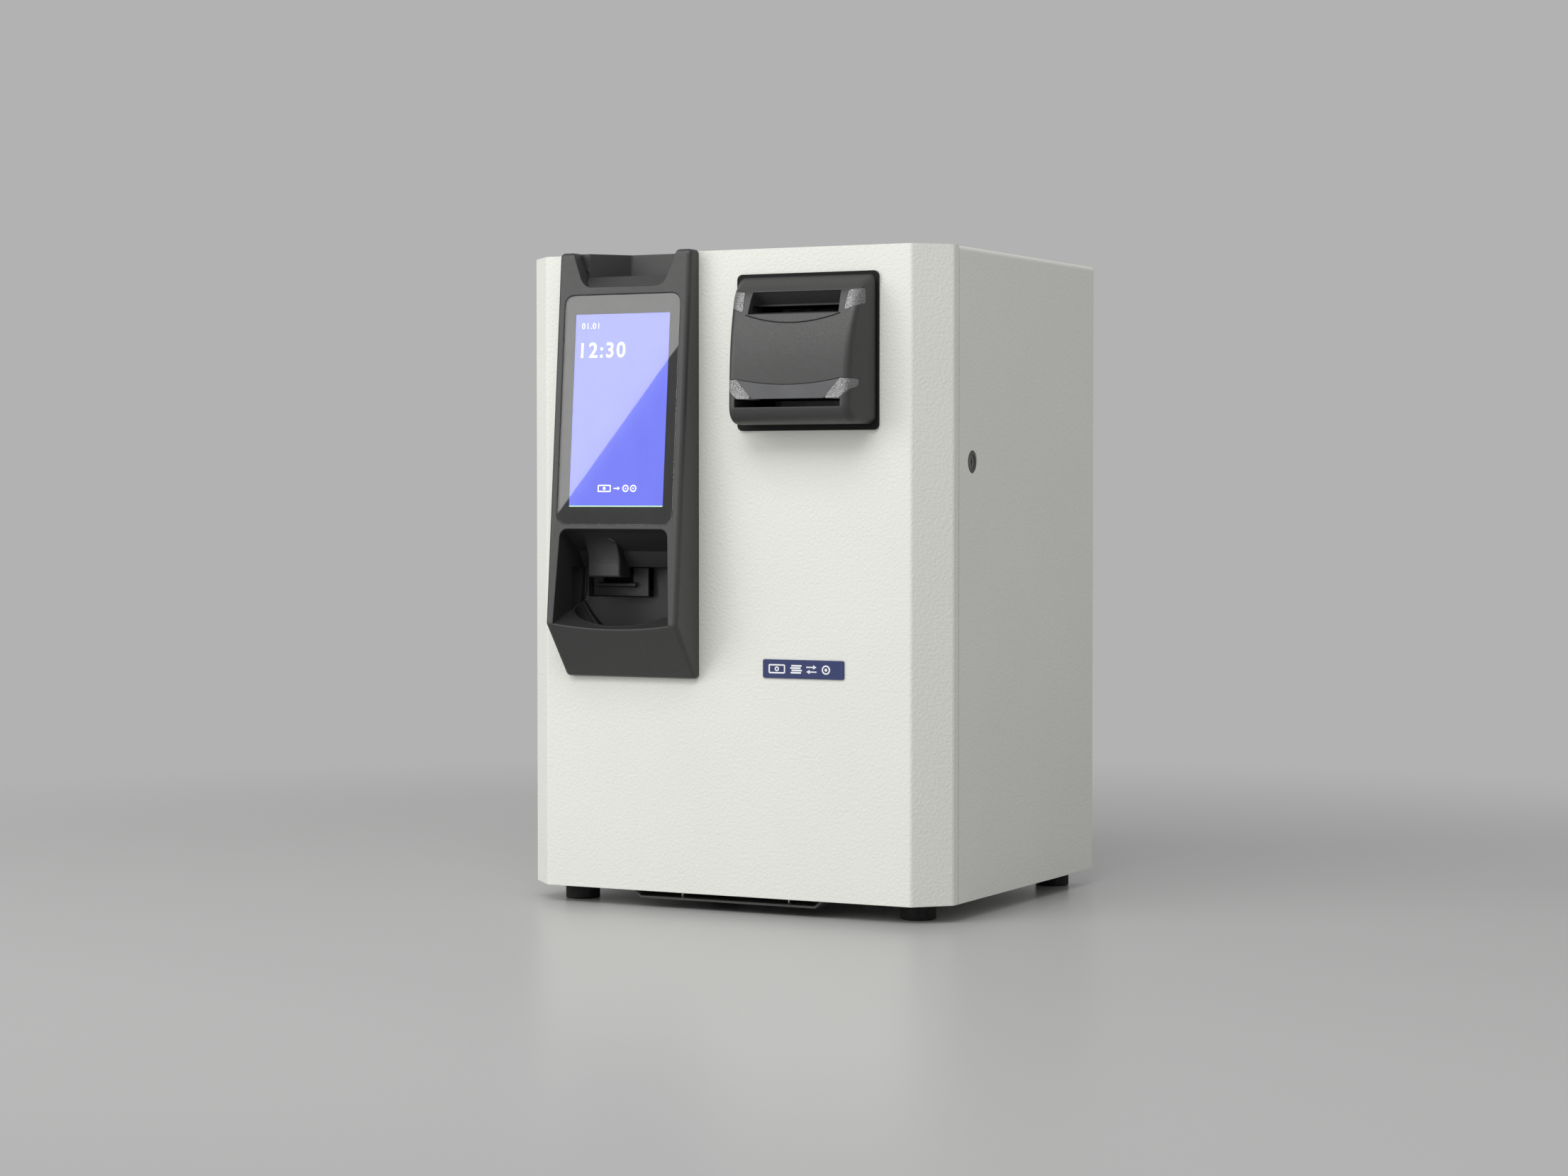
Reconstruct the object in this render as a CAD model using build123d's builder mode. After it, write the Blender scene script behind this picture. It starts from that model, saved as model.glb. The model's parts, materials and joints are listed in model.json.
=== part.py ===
"""Counter-top cash payment machine: sheet cabinet, hinged front door, touch terminal and note reader.

Millimetres, +Z up, the customer stands at -Y. The origin is under the centre of the machine, on
the surface that the rubber feet rest on. Inside this file every size is given in the cabinet's
own frame: x from the cabinet's centre, y backwards from the door's front face and z upwards from
the cabinet's lower edge.
"""
from build123d import *
import math
import os

# ---------------------------------------------------------------- driving dimensions
WIDTH = 376.0
DEPTH = 311.0
HEIGHT = 510.0
FOOT_HEIGHT = 13.5
SHEET = 1.5
DOOR_DEPTH = 34.0
SEAM = 1.0
CHAMFER = 25.0
BEND = 4.0
NOSE = 37.2           # how far the terminal's lip stands in front of the door
REAR_PROUD = 2.5      # how far the fan guard stands behind the cabinet
HALF = WIDTH / 2
INSIDE = HALF - SHEET

# hinge and lock
HINGE_X = -HALF + 3.0
HINGE_Y = DOOR_DEPTH
KNUCKLE_R = 2.9
PIN_R = 1.25
PIN_FIT = 0.06
KNUCKLE_COUNT = 11
KNUCKLE_LENGTH = 42.0
LOCK_Y = 59.8
LOCK_Z = 343.0
LOCK_HEAD_R = 8.9
PLUG_R = 5.6
CAM_REACH = 38.0

# terminal column
COLUMN_X = -82.3
COLUMN_W = 120.2
COLUMN_TOP = 511.3
COLUMN_BOTTOM = 171.5
LIP_Z = 214.0
LIP_DIP = 4.5         # how far the return lip sags at its middle
COLUMN_ROUND = 3.8
LIP_HALF = 51.0       # half the lip's length between the pillars
RIM_ROUND = 0.8
SPOUT_Y = -5.0
SPOUT_ROUND = 2.0
HORN_Z = COLUMN_TOP + 0.03
HORN_ROUND = 3.0
NOTCH_Z = 483.1
NOTCH_ROUND = 11.0
FACE_SLOPE = 0.0804   # rearward run per unit of height
FACE_Y0 = -54.4       # where the face's line meets z = 0
GLASS = (-135.2, -29.9, 293.7, 476.9)
GLASS_R = 8.0
GLASS_T = 2.0
SCREEN = (-125.2, -39.4, 308.0, 461.5)
LCD_T = 4.0

# return bay and cup
BAY_TOP = 290.3
BAY_FLOOR = 211.0
LEDGE_ANGLE = 20.0
HOOD_Z = 259.3
HOOD_Y = 9.0
CUP_X = -86.0
CUP_Y = -1.0
CUP_A = 48.0
CUP_B = 25.5
CUP_FLOOR = 188.0
CUP_WALL = 1.8

# note reader
READER_X = 74.85
PLATE = (13.5, 136.2, 367.5, 490.0)
BEZEL_LEFT = 15.5
BEZEL_RIGHT = 134.2
NOTE_W = 82.0
IN_SLOT_Z = 461.5
IN_SLOT_H = 5.0
OUT_SLOT = (29.0, 120.0, 385.0, 391.4)

# feet, anchor bracket
FOOT_R = 14.0
FEET = [(-152, 38), (152, 38), (-158, 295), (158, 295)]
PAN_DEPTH = 6.3
PAN_HALF = 78.5
ANCHOR_X = 60.0
ANCHOR_Y = (90.0, 190.0)
ANCHOR_R = 3.3

# inside
SHELF_Z = 238.0
SHELF_Y = (62.0, 298.0)
NOTE_X = (17.0, 133.0)
NOTE_Y = (64.0, 286.0)
ROLLER_R = 9.0
SHAFT_R = 3.0
GEAR_MODULE = 1.0
GEAR_T = 5.0
ROLLER_TEETH = 24
PINION_TEETH = 12
DRUM_R = 33.0
DRUM_TEETH = 35
DRUM_MODULE = 2.0
COIN_C = (-95.0, 106.0)
DISC_R = 58.0
FAN_C = (-110.0, 420.0)
FAN_R = 38.0
VENT_ROWS = 9
VENT_X = 35.0
VENT_Z = 330.0
VENT_STEP = 14.0
VENT_LENGTH = 70.0
VENT_W = 5.0
REAR_SCREW_R = 1.7

FRONT_Y = (NOSE - (DEPTH + REAR_PROUD)) / 2
CABINET = Plane(origin=(0, FRONT_Y, FOOT_HEIGHT))
FRONT = Plane(origin=(0, FRONT_Y, FOOT_HEIGHT), x_dir=(1, 0, 0), z_dir=(0, -1, 0))
SIDE = Plane(origin=(0, FRONT_Y, FOOT_HEIGHT), x_dir=(0, 1, 0), z_dir=(1, 0, 0))
AXES = {"X": (1, 0, 0), "Y": (0, 1, 0), "Z": (0, 0, 1)}
FROM_START = (Align.CENTER, Align.CENTER, Align.MIN)

os.makedirs("parts", exist_ok=True)


# ---------------------------------------------------------------- helpers
def place(x, y, z):
    """The model's coordinates of a point given in the cabinet's own frame."""
    return (x, FRONT_Y + y, FOOT_HEIGHT + z)


def level(z):
    """A horizontal sketch plane at height z: local x and y are the cabinet's x and y."""
    return CABINET.offset(z)


def upright(y):
    """A sketch plane facing the customer at depth y: local x and y are the cabinet's x and z."""
    return FRONT.offset(-y)


def sideways(x):
    """A sketch plane facing +X at position x: local x and y are the cabinet's y and z."""
    return SIDE.offset(x)


def wheel_plane(x, centre):
    """A sketch plane facing +X at position x, with its origin at the (y, z) centre of a wheel."""
    return Plane(origin=place(x, *centre), x_dir=(0, 1, 0), z_dir=(1, 0, 0))


def block(x, y, z, mode=Mode.ADD):
    """A box between three (low, high) pairs."""
    middle = [(low + high) / 2 for low, high in (x, y, z)]
    with Locations(place(*middle)):
        Box(x[1] - x[0], y[1] - y[0], z[1] - z[0], mode=mode)


def rod(start, axis, radius, length, mode=Mode.ADD):
    """A cylinder that starts at a point and runs along one axis."""
    with Locations(Plane(origin=place(*start), z_dir=AXES[axis])):
        Cylinder(radius, length, align=FROM_START, mode=mode)


def face_y(z):
    """Depth of the terminal's sloping face at height z."""
    return FACE_SLOPE * z + FACE_Y0


def rounded(x0, x1, z0, z1, radius):
    """Draw a rounded rectangle between two corners in the current sketch."""
    with Locations(((x0 + x1) / 2, (z0 + z1) / 2)):
        RectangleRounded(x1 - x0, z1 - z0, radius)


def save(piece, name):
    """Label a finished piece and write its file."""
    piece.part.label = name
    export_step(piece.part, f"parts/{name}.step")


def gear_outline(teeth, module, turn=0.0):
    """Corner points of a simple straight-flanked spur gear, one tooth centred at the turn angle."""
    pitch = teeth * module / 2
    root = pitch - 1.2 * module
    tip = pitch + 0.9 * module
    points = []
    for tooth in range(teeth):
        for share, radius in ((-0.30, root), (-0.13, tip), (0.13, tip), (0.30, root)):
            angle = math.radians(turn + 360 * (tooth + share) / teeth)
            points.append((radius * math.cos(angle), radius * math.sin(angle)))
    return points


def face_plane(z):
    """A sketch plane lying in the terminal's sloping face, its origin at height z on x = 0."""
    origin = (0, FRONT_Y + face_y(z), FOOT_HEIGHT + z)
    return Plane(origin=origin, x_dir=(1, 0, 0), z_dir=(0, -1, FACE_SLOPE))


def along_face(z):
    """Distance up the sloping face for a height difference z."""
    return z * math.hypot(1, FACE_SLOPE)


# ---------------------------------------------------------------- cabinet
WRAP_FRONT = DOOR_DEPTH + SEAM / 2
LEFT_FRONT = HINGE_Y + 5.0
FLANGE = 12.0

with BuildPart() as cabinet_wrap:
    with BuildSketch(upright(DEPTH)) as outer:
        rounded(-HALF, HALF, -BEND, HEIGHT, BEND)
        with Locations((0, -BEND / 2)):
            Rectangle(WIDTH + 2, BEND, mode=Mode.SUBTRACT)
    extrude(outer.sketch, amount=DEPTH - WRAP_FRONT)
    with BuildSketch(upright(DEPTH)) as inner:
        rounded(-INSIDE, INSIDE, -BEND, HEIGHT - SHEET, BEND - SHEET)
    extrude(inner.sketch, amount=DEPTH, mode=Mode.SUBTRACT)
    block((-HALF - 1, HINGE_X + 3.5), (WRAP_FRONT - 1, LEFT_FRONT), (-1, HEIGHT + 1), mode=Mode.SUBTRACT)
    block((INSIDE - FLANGE, INSIDE), (WRAP_FRONT, WRAP_FRONT + SHEET), (SHEET, HEIGHT - SHEET - 0.2))
    block((-165, INSIDE), (WRAP_FRONT, WRAP_FRONT + SHEET), (HEIGHT - SHEET - FLANGE, HEIGHT - SHEET))
    for flange_x in ((-INSIDE, -INSIDE + FLANGE), (INSIDE - FLANGE, INSIDE)):
        block(flange_x, (307.5, 309.0), (SHEET + 1, HEIGHT - SHEET))
    block((-INSIDE, INSIDE), (307.5, 309.0), (HEIGHT - SHEET - FLANGE, HEIGHT - SHEET))
    rod((INSIDE - 1, LOCK_Y, LOCK_Z), "X", LOCK_HEAD_R + 0.1, SHEET + 2, mode=Mode.SUBTRACT)
save(cabinet_wrap, "cabinet_wrap")

with BuildPart() as floor_panel:
    block((-INSIDE, INSIDE), (WRAP_FRONT, 307.3), (0, SHEET))
    for x0 in (-INSIDE, INSIDE - SHEET):
        block((x0, x0 + SHEET), (LEFT_FRONT + 2, 307.3), (0, FLANGE))
    block((-160, 160), (307.3 - SHEET, 307.3), (0, FLANGE))
    with Locations(*[place(x, y, 0) for x, y in FEET]):
        Cylinder(2.2, 10, mode=Mode.SUBTRACT)
    with Locations(*[place(x, y, 0) for x in (-ANCHOR_X, ANCHOR_X) for y in ANCHOR_Y]):
        Cylinder(ANCHOR_R, 10, mode=Mode.SUBTRACT)
save(floor_panel, "floor_panel")

with BuildPart() as rear_panel:
    block((-INSIDE + 0.3, INSIDE - 0.3), (309.0, 310.5), (2.0, HEIGHT - SHEET - 0.3))
    fillet(rear_panel.edges().filter_by(Axis.Y).group_by(Axis.Z)[-1], 3.0)
    rod((FAN_C[0], 300, FAN_C[1]), "Y", FAN_R, 20, mode=Mode.SUBTRACT)
    for row in range(VENT_ROWS):
        for side in (-1, 1):
            with BuildSketch(upright(315)) as slot:
                with Locations((VENT_X + 45 * side, VENT_Z + VENT_STEP * row)):
                    SlotOverall(VENT_LENGTH, VENT_W)
            extrude(slot.sketch, amount=10, mode=Mode.SUBTRACT)
    block((103, 131), (300, 315), (42, 66), mode=Mode.SUBTRACT)
    block((62.6, 82.4), (300, 315), (46.6, 61.4), mode=Mode.SUBTRACT)
    block((-130, -70), (300, 315), (46, 62), mode=Mode.SUBTRACT)
    REAR_SCREWS = [(x, z) for x in (-180.5, 180.5) for z in (30, 180, 330, 480)]
    REAR_SCREWS += [(-70, 502.5), (70, 502.5)]
    for screw_x, screw_z in REAR_SCREWS:
        rod((screw_x, 300, screw_z), "Y", REAR_SCREW_R + 0.1, 20, mode=Mode.SUBTRACT)
save(rear_panel, "rear_panel")

with BuildPart() as rear_screws:
    for screw_x, screw_z in REAR_SCREWS:
        with BuildSketch(upright(310.5)) as head:
            with Locations((screw_x, screw_z)):
                Circle(3.4)
                RegularPolygon(1.6, 6, mode=Mode.SUBTRACT)
        extrude(head.sketch, amount=-1.4)
        rod((screw_x, 309.1, screw_z), "Y", REAR_SCREW_R, 1.5)
save(rear_screws, "rear_screws")

with BuildPart() as rubber_feet:
    with Locations(*[place(x, y, -FOOT_HEIGHT) for x, y in FEET]):
        Cylinder(FOOT_R, FOOT_HEIGHT - 0.5, align=FROM_START)
    fillet(rubber_feet.edges().filter_by(GeomType.CIRCLE), 1.0)
    with Locations(*[place(x, y, -1.0) for x, y in FEET]):
        Cylinder(5.0, 1.0, align=FROM_START)
    with Locations(*[place(x, y, -FOOT_HEIGHT) for x, y in FEET]):
        Cylinder(5.2, 4.5, align=FROM_START, mode=Mode.SUBTRACT)
        Cylinder(2.15, 30, align=FROM_START, mode=Mode.SUBTRACT)
save(rubber_feet, "rubber_feet")

with BuildPart() as foot_screws:
    with Locations(*[place(x, y, -9.0) for x, y in FEET]):
        Cylinder(2.0, 15.0, align=FROM_START)
    with Locations(*[place(x, y, -11.6) for x, y in FEET]):
        Cylinder(4.0, 2.6, align=FROM_START)
    with Locations(*[place(x, y, -11.6) for x, y in FEET]):
        Box(5.6, 1.0, 1.2, align=FROM_START, mode=Mode.SUBTRACT)
        Box(1.0, 5.6, 1.2, align=FROM_START, mode=Mode.SUBTRACT)
    with Locations(*[place(x, y, SHEET) for x, y in FEET]):
        Cylinder(3.9, 3.2, align=FROM_START)
save(foot_screws, "foot_screws")


def pan_section(thickness):
    """Closed outline of the bracket's hat section in the x and z plane."""
    inner = PAN_DEPTH - thickness
    run = thickness * math.tan(math.radians(22.5))
    right = [(PAN_HALF, -PAN_DEPTH), (PAN_HALF + PAN_DEPTH - run, -thickness), (104, -thickness)]
    right += [(104, 0), (PAN_HALF + PAN_DEPTH - 2 * run, 0), (PAN_HALF - run, -inner)]
    return right + [(-x, z) for x, z in reversed(right)]


with BuildPart() as anchor_bracket:
    with BuildSketch(upright(4.5)) as hat:
        with BuildLine():
            Polyline(*pan_section(1.7), close=True)
        make_face()
    extrude(hat.sketch, amount=-220)
    block((-120, 120), (0, 60), (-0.5, 5), mode=Mode.SUBTRACT)
    for x0, x1 in ((-110, -PAN_HALF - 5.6), (PAN_HALF + 5.6, 110)):
        block((x0, x1), (0, 60), (-3, 5), mode=Mode.SUBTRACT)
    with Locations(*[place(x, y, -10) for x in (-ANCHOR_X, ANCHOR_X) for y in ANCHOR_Y]):
        Cylinder(ANCHOR_R, 20, align=FROM_START, mode=Mode.SUBTRACT)
save(anchor_bracket, "anchor_bracket")

with BuildPart() as bracket_posts:
    for post_x in (-48.0, 48.0):
        rod((post_x, 20, -PAN_DEPTH + 1.7), "Z", 1.3, PAN_DEPTH - 1.7 - 0.5)
save(bracket_posts, "bracket_posts")

# ---------------------------------------------------------------- front door
DOOR_BACK = DOOR_DEPTH - SEAM / 2
LEFT_BACK = HINGE_Y - 4.6


def door_outline(inset, back):
    """Plan of the door with its two chamfered corners, inset by a wall thickness."""
    half = HALF - inset
    cut = CHAMFER - inset * math.tan(math.radians(22.5))
    return [(-half, back), (-half, inset + cut), (-half + cut, inset), (half - cut, inset),
            (half, inset + cut), (half, back)]


TERMINAL_HOLE = (-137.0, -27.6, 178.0, 505.0)
READER_HOLE = (26.0, 124.0, 378.0, 482.0)

with BuildPart() as door_shell:
    with BuildSketch(level(0)) as plan:
        with BuildLine():
            Polyline(*door_outline(0, DOOR_BACK), close=True)
        make_face()
        fillet(plan.vertices().group_by(Axis.Y)[0:2], BEND)
    extrude(plan.sketch, amount=HEIGHT)
    with BuildSketch(level(SHEET)) as hollow:
        with BuildLine():
            Polyline(*door_outline(SHEET, DOOR_BACK + 5), close=True)
        make_face()
        fillet(hollow.vertices().group_by(Axis.Y)[0:2], BEND - SHEET)
    extrude(hollow.sketch, amount=HEIGHT - 2 * SHEET, mode=Mode.SUBTRACT)
    block((-HALF - 1, HINGE_X + 3.4), (LEFT_BACK, DOOR_DEPTH + 1), (-1, HEIGHT + 1), mode=Mode.SUBTRACT)
    block((-INSIDE, HINGE_X + 20), (LEFT_BACK - SHEET, LEFT_BACK), (SHEET + 2, HEIGHT - SHEET - 2))
    block((INSIDE - 14, INSIDE), (DOOR_BACK - SHEET, DOOR_BACK), (SHEET + 8, HEIGHT - SHEET - 8))
    block((INSIDE - 11, INSIDE - 4), (DOOR_BACK - 4, DOOR_BACK + 1), (314.5, 351), mode=Mode.SUBTRACT)
    for x0, x1, z0, z1 in (TERMINAL_HOLE, READER_HOLE):
        block((x0, x1), (-5, 10), (z0, z1), mode=Mode.SUBTRACT)
    block((-131.8, -32.6), (-5, 30.4), (460, HEIGHT + 1), mode=Mode.SUBTRACT)
save(door_shell, "door_shell")

with BuildPart() as door_gasket:
    block((-150, 160), (DOOR_BACK - 5.5, DOOR_BACK - 0.5), (2.0, 7.0))
    for x0, x1 in ((-160, -134), (-30, 160)):
        block((x0, x1), (DOOR_BACK - 5.5, DOOR_BACK - 0.5), (HEIGHT - 7.0, HEIGHT - 2.0))
save(door_gasket, "door_gasket")

with BuildPart() as door_catch:
    block((INSIDE - 18, INSIDE), (DOOR_BACK - SHEET - 2.0, DOOR_BACK - SHEET), (351.5, 372))
    block((INSIDE - 18, INSIDE - 16), (14, DOOR_BACK - SHEET - 2.0), (351.5, 372))
    fillet(door_catch.edges().filter_by(Axis.X).group_by(Axis.Z)[-1], 0.8)
save(door_catch, "door_catch")


# ---------------------------------------------------------------- hinge
def knuckle_span(index):
    """Low and high ends of one hinge knuckle."""
    start = (HEIGHT - KNUCKLE_COUNT * KNUCKLE_LENGTH) / 2 + index * KNUCKLE_LENGTH
    return start + 0.15, start + KNUCKLE_LENGTH - 0.15


HINGE_SPAN = (knuckle_span(0)[0], knuckle_span(KNUCKLE_COUNT - 1)[1])

with BuildPart() as hinge_leaf_cabinet:
    block((-INSIDE, -INSIDE + 1.2), (HINGE_Y + 3.3, HINGE_Y + 26), HINGE_SPAN)
    for index in range(0, KNUCKLE_COUNT, 2):
        z0, z1 = knuckle_span(index)
        block((-INSIDE, -INSIDE + 1.2), (HINGE_Y, HINGE_Y + 4), (z0, z1))
        rod((HINGE_X, HINGE_Y, z0), "Z", KNUCKLE_R, z1 - z0)
    rod((HINGE_X, HINGE_Y, 0), "Z", PIN_R + PIN_FIT, HEIGHT, mode=Mode.SUBTRACT)
save(hinge_leaf_cabinet, "hinge_leaf_cabinet")

with BuildPart() as hinge_leaf_door:
    block((HINGE_X + 3.3, HINGE_X + 20), (LEFT_BACK, LEFT_BACK + 1.2), HINGE_SPAN)
    for index in range(1, KNUCKLE_COUNT, 2):
        z0, z1 = knuckle_span(index)
        block((HINGE_X, HINGE_X + 4), (HINGE_Y - KNUCKLE_R, HINGE_Y - KNUCKLE_R + 1.2), (z0, z1))
        block((HINGE_X + 2.8, HINGE_X + 4), (LEFT_BACK, HINGE_Y - KNUCKLE_R + 1.2), (z0, z1))
        rod((HINGE_X, HINGE_Y, z0), "Z", KNUCKLE_R, z1 - z0)
    rod((HINGE_X, HINGE_Y, 0), "Z", PIN_R + PIN_FIT, HEIGHT, mode=Mode.SUBTRACT)
save(hinge_leaf_door, "hinge_leaf_door")

with BuildPart() as hinge_pin:
    rod((HINGE_X, HINGE_Y, HINGE_SPAN[0] - 0.3), "Z", PIN_R, HINGE_SPAN[1] - HINGE_SPAN[0] + 0.6)
    rod((HINGE_X, HINGE_Y, HINGE_SPAN[0] - 1.6), "Z", 2.2, 1.5)
    rod((HINGE_X, HINGE_Y, HINGE_SPAN[1] + 0.1), "Z", 2.2, 1.5)
save(hinge_pin, "hinge_pin")

# ---------------------------------------------------------------- cam lock
LOCK_FACE = HALF - 0.6
LOCK_SEAT = INSIDE - 1.5
CAM_X = HALF - 22.0
HOOK_W = 5.5
HOOK_START = -111.0
HOOK_END = -81.0


def on_cam(radius, angle):
    """A point at a radius and an angle from the lock's axis, in a sketch that faces +X."""
    turn = math.radians(angle)
    return (LOCK_Y + radius * math.cos(turn), LOCK_Z + radius * math.sin(turn))


with BuildPart() as lock_bracket:
    block((LOCK_SEAT - SHEET, LOCK_SEAT), (LOCK_Y - 16, LOCK_Y + 16), (LOCK_Z - 18, LOCK_Z + 18))
    for low, high in ((LOCK_Z - 18, LOCK_Z - 13), (LOCK_Z + 13, LOCK_Z + 18)):
        block((LOCK_SEAT, INSIDE), (LOCK_Y - 16, LOCK_Y + 16), (low, high))
    rod((LOCK_SEAT - 5, LOCK_Y, LOCK_Z), "X", 7.5, 10, mode=Mode.SUBTRACT)
save(lock_bracket, "lock_bracket")

with BuildPart() as lock_body:
    rod((CAM_X + 3.2, LOCK_Y, LOCK_Z), "X", 7.4, LOCK_FACE - CAM_X - 3.2)
    rod((LOCK_SEAT, LOCK_Y, LOCK_Z), "X", LOCK_HEAD_R, LOCK_FACE - LOCK_SEAT)
    rod((CAM_X, LOCK_Y, LOCK_Z), "X", PLUG_R + 0.05, 40, mode=Mode.SUBTRACT)
    outer_ring = lock_body.edges().filter_by(GeomType.CIRCLE).group_by(Axis.X)[-1].sort_by(SortBy.RADIUS)[-1]
    chamfer(outer_ring, 0.6)
save(lock_body, "lock_body")

with BuildPart() as lock_nut:
    with BuildSketch(sideways(LOCK_SEAT - SHEET - 3.2)) as hexagon:
        with Locations((LOCK_Y, LOCK_Z)):
            RegularPolygon(11.5, 6)
            Circle(7.42, mode=Mode.SUBTRACT)
    extrude(hexagon.sketch, amount=3.2)
save(lock_nut, "lock_nut")

with BuildPart() as lock_plug:
    rod((CAM_X, LOCK_Y, LOCK_Z), "X", PLUG_R, LOCK_FACE - CAM_X - 0.4)
    block((LOCK_FACE - 6, LOCK_FACE + 1), (LOCK_Y - 0.5, LOCK_Y + 0.5), (LOCK_Z - 3.6, LOCK_Z + 3.6),
          mode=Mode.SUBTRACT)
    rod((LOCK_FACE - 1.0, LOCK_Y, LOCK_Z), "X", 1.5, 3, mode=Mode.SUBTRACT)
    rod((CAM_X - 1, LOCK_Y, LOCK_Z), "X", 1.6, 9, mode=Mode.SUBTRACT)
save(lock_plug, "lock_plug")

with BuildPart() as lock_cam:
    with BuildSketch(sideways(CAM_X - 2.5)) as hook:
        with Locations((LOCK_Y, LOCK_Z)):
            Circle(7.5)
        with Locations((LOCK_Y, LOCK_Z - CAM_REACH / 2 + 2)):
            Rectangle(11, CAM_REACH - 4)
        with BuildLine():
            CenterArc((LOCK_Y, LOCK_Z), CAM_REACH, HOOK_START, HOOK_END - HOOK_START)
            CenterArc((LOCK_Y, LOCK_Z), CAM_REACH - HOOK_W, HOOK_START, HOOK_END - HOOK_START)
            Line(on_cam(CAM_REACH, HOOK_START), on_cam(CAM_REACH - HOOK_W, HOOK_START))
            Line(on_cam(CAM_REACH, HOOK_END), on_cam(CAM_REACH - HOOK_W, HOOK_END))
        make_face()
        with Locations((LOCK_Y, LOCK_Z)):
            Circle(1.6, mode=Mode.SUBTRACT)
    extrude(hook.sketch, amount=2.5)
save(lock_cam, "lock_cam")

with BuildPart() as cam_screw:
    rod((CAM_X - 4.5, LOCK_Y, LOCK_Z), "X", 3.2, 2.0)
    rod((CAM_X - 2.6, LOCK_Y, LOCK_Z), "X", 1.5, 9.5)
    block((CAM_X - 5, CAM_X - 3.6), (LOCK_Y - 2.4, LOCK_Y + 2.4), (LOCK_Z - 0.4, LOCK_Z + 0.4),
          mode=Mode.SUBTRACT)
save(cam_screw, "cam_screw")

# ---------------------------------------------------------------- terminal column
COLUMN_LEFT = COLUMN_X - COLUMN_W / 2
CHIN_BACK = -5.0
BAY_BACK = 12.0


def column_profile():
    """Side outline of the terminal: flat back on the door, sloping face, chin below the lip."""
    return [(-0.2, COLUMN_BOTTOM), (-0.2, COLUMN_TOP), (face_y(COLUMN_TOP), COLUMN_TOP),
            (face_y(LIP_Z), LIP_Z), (CHIN_BACK, COLUMN_BOTTOM)]


def ledge_z(y):
    """Height of the bay's sloping floor at depth y."""
    return BAY_FLOOR + math.tan(math.radians(LEDGE_ANGLE)) * (y - face_y(BAY_FLOOR))


def is_spout_edge(edge):
    """True for the two upright front edges and the lower front edge of the return spout."""
    middle = edge.center()
    depth = middle.Y - FRONT_Y
    return abs(depth - SPOUT_Y) < 0.3 and -123 < middle.X < -91 and 250 < middle.Z - FOOT_HEIGHT < 276


def is_outer_edge(edge):
    """True for every edge of the terminal's plain column that doesn't lie on the door."""
    return edge.center().Y - FRONT_Y < -0.5


def is_rim_edge(edge):
    """True for the long curved edge of the return lip."""
    middle = edge.center()
    height = middle.Z - FOOT_HEIGHT
    return edge.length > 80 and middle.Y - FRONT_Y < -30 and LIP_Z - 9 < height < LIP_Z + 2


def above_ledge():
    """Everything above the bay's floor, which sags between the pillars and rises to the rear."""
    half = COLUMN_W / 2
    end_z = LIP_Z - LIP_DIP + LIP_DIP * (half / LIP_HALF) ** 2
    rise = math.radians(LEDGE_ANGLE)
    with BuildPart() as space:
        with BuildSketch(upright(face_y(LIP_Z))) as trough:
            with BuildLine():
                ThreePointArc((COLUMN_X - half, end_z), (COLUMN_X, LIP_Z - LIP_DIP), (COLUMN_X + half, end_z))
                Polyline((COLUMN_X + half, end_z), (COLUMN_X + half, 340), (COLUMN_X - half, 340),
                         (COLUMN_X - half, end_z))
            make_face()
        extrude(trough.sketch, amount=70, dir=(0, math.cos(rise), math.sin(rise)), both=True)
    return space.part


def above_chin(inset):
    """Everything above a plane that lies a given distance inside the terminal's sloping chin."""
    run = math.hypot(face_y(LIP_Z) - CHIN_BACK, LIP_Z - COLUMN_BOTTOM)
    down_y = (CHIN_BACK - face_y(LIP_Z)) / run
    down_z = (COLUMN_BOTTOM - LIP_Z) / run
    low_y = CHIN_BACK - down_z * inset
    low_z = COLUMN_BOTTOM + down_y * inset
    reach = 185.0
    high_z = low_z - reach * down_z
    with BuildPart() as space:
        with BuildSketch(sideways(-200)) as slope:
            with BuildLine():
                Polyline((low_y, low_z), (60, low_z), (60, high_z), (low_y - reach * down_y, high_z),
                         close=True)
            make_face()
        extrude(slope.sketch, amount=200)
    return space.part


def cup_column(wall, floor, top):
    """Upright elliptical column with the cup's plan, grown by a wall thickness."""
    with BuildPart() as column:
        with BuildSketch(level(floor)) as plan:
            with Locations((CUP_X, CUP_Y)):
                Ellipse(CUP_A + wall, CUP_B + wall)
        extrude(plan.sketch, amount=top - floor)
    return column.part


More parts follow.
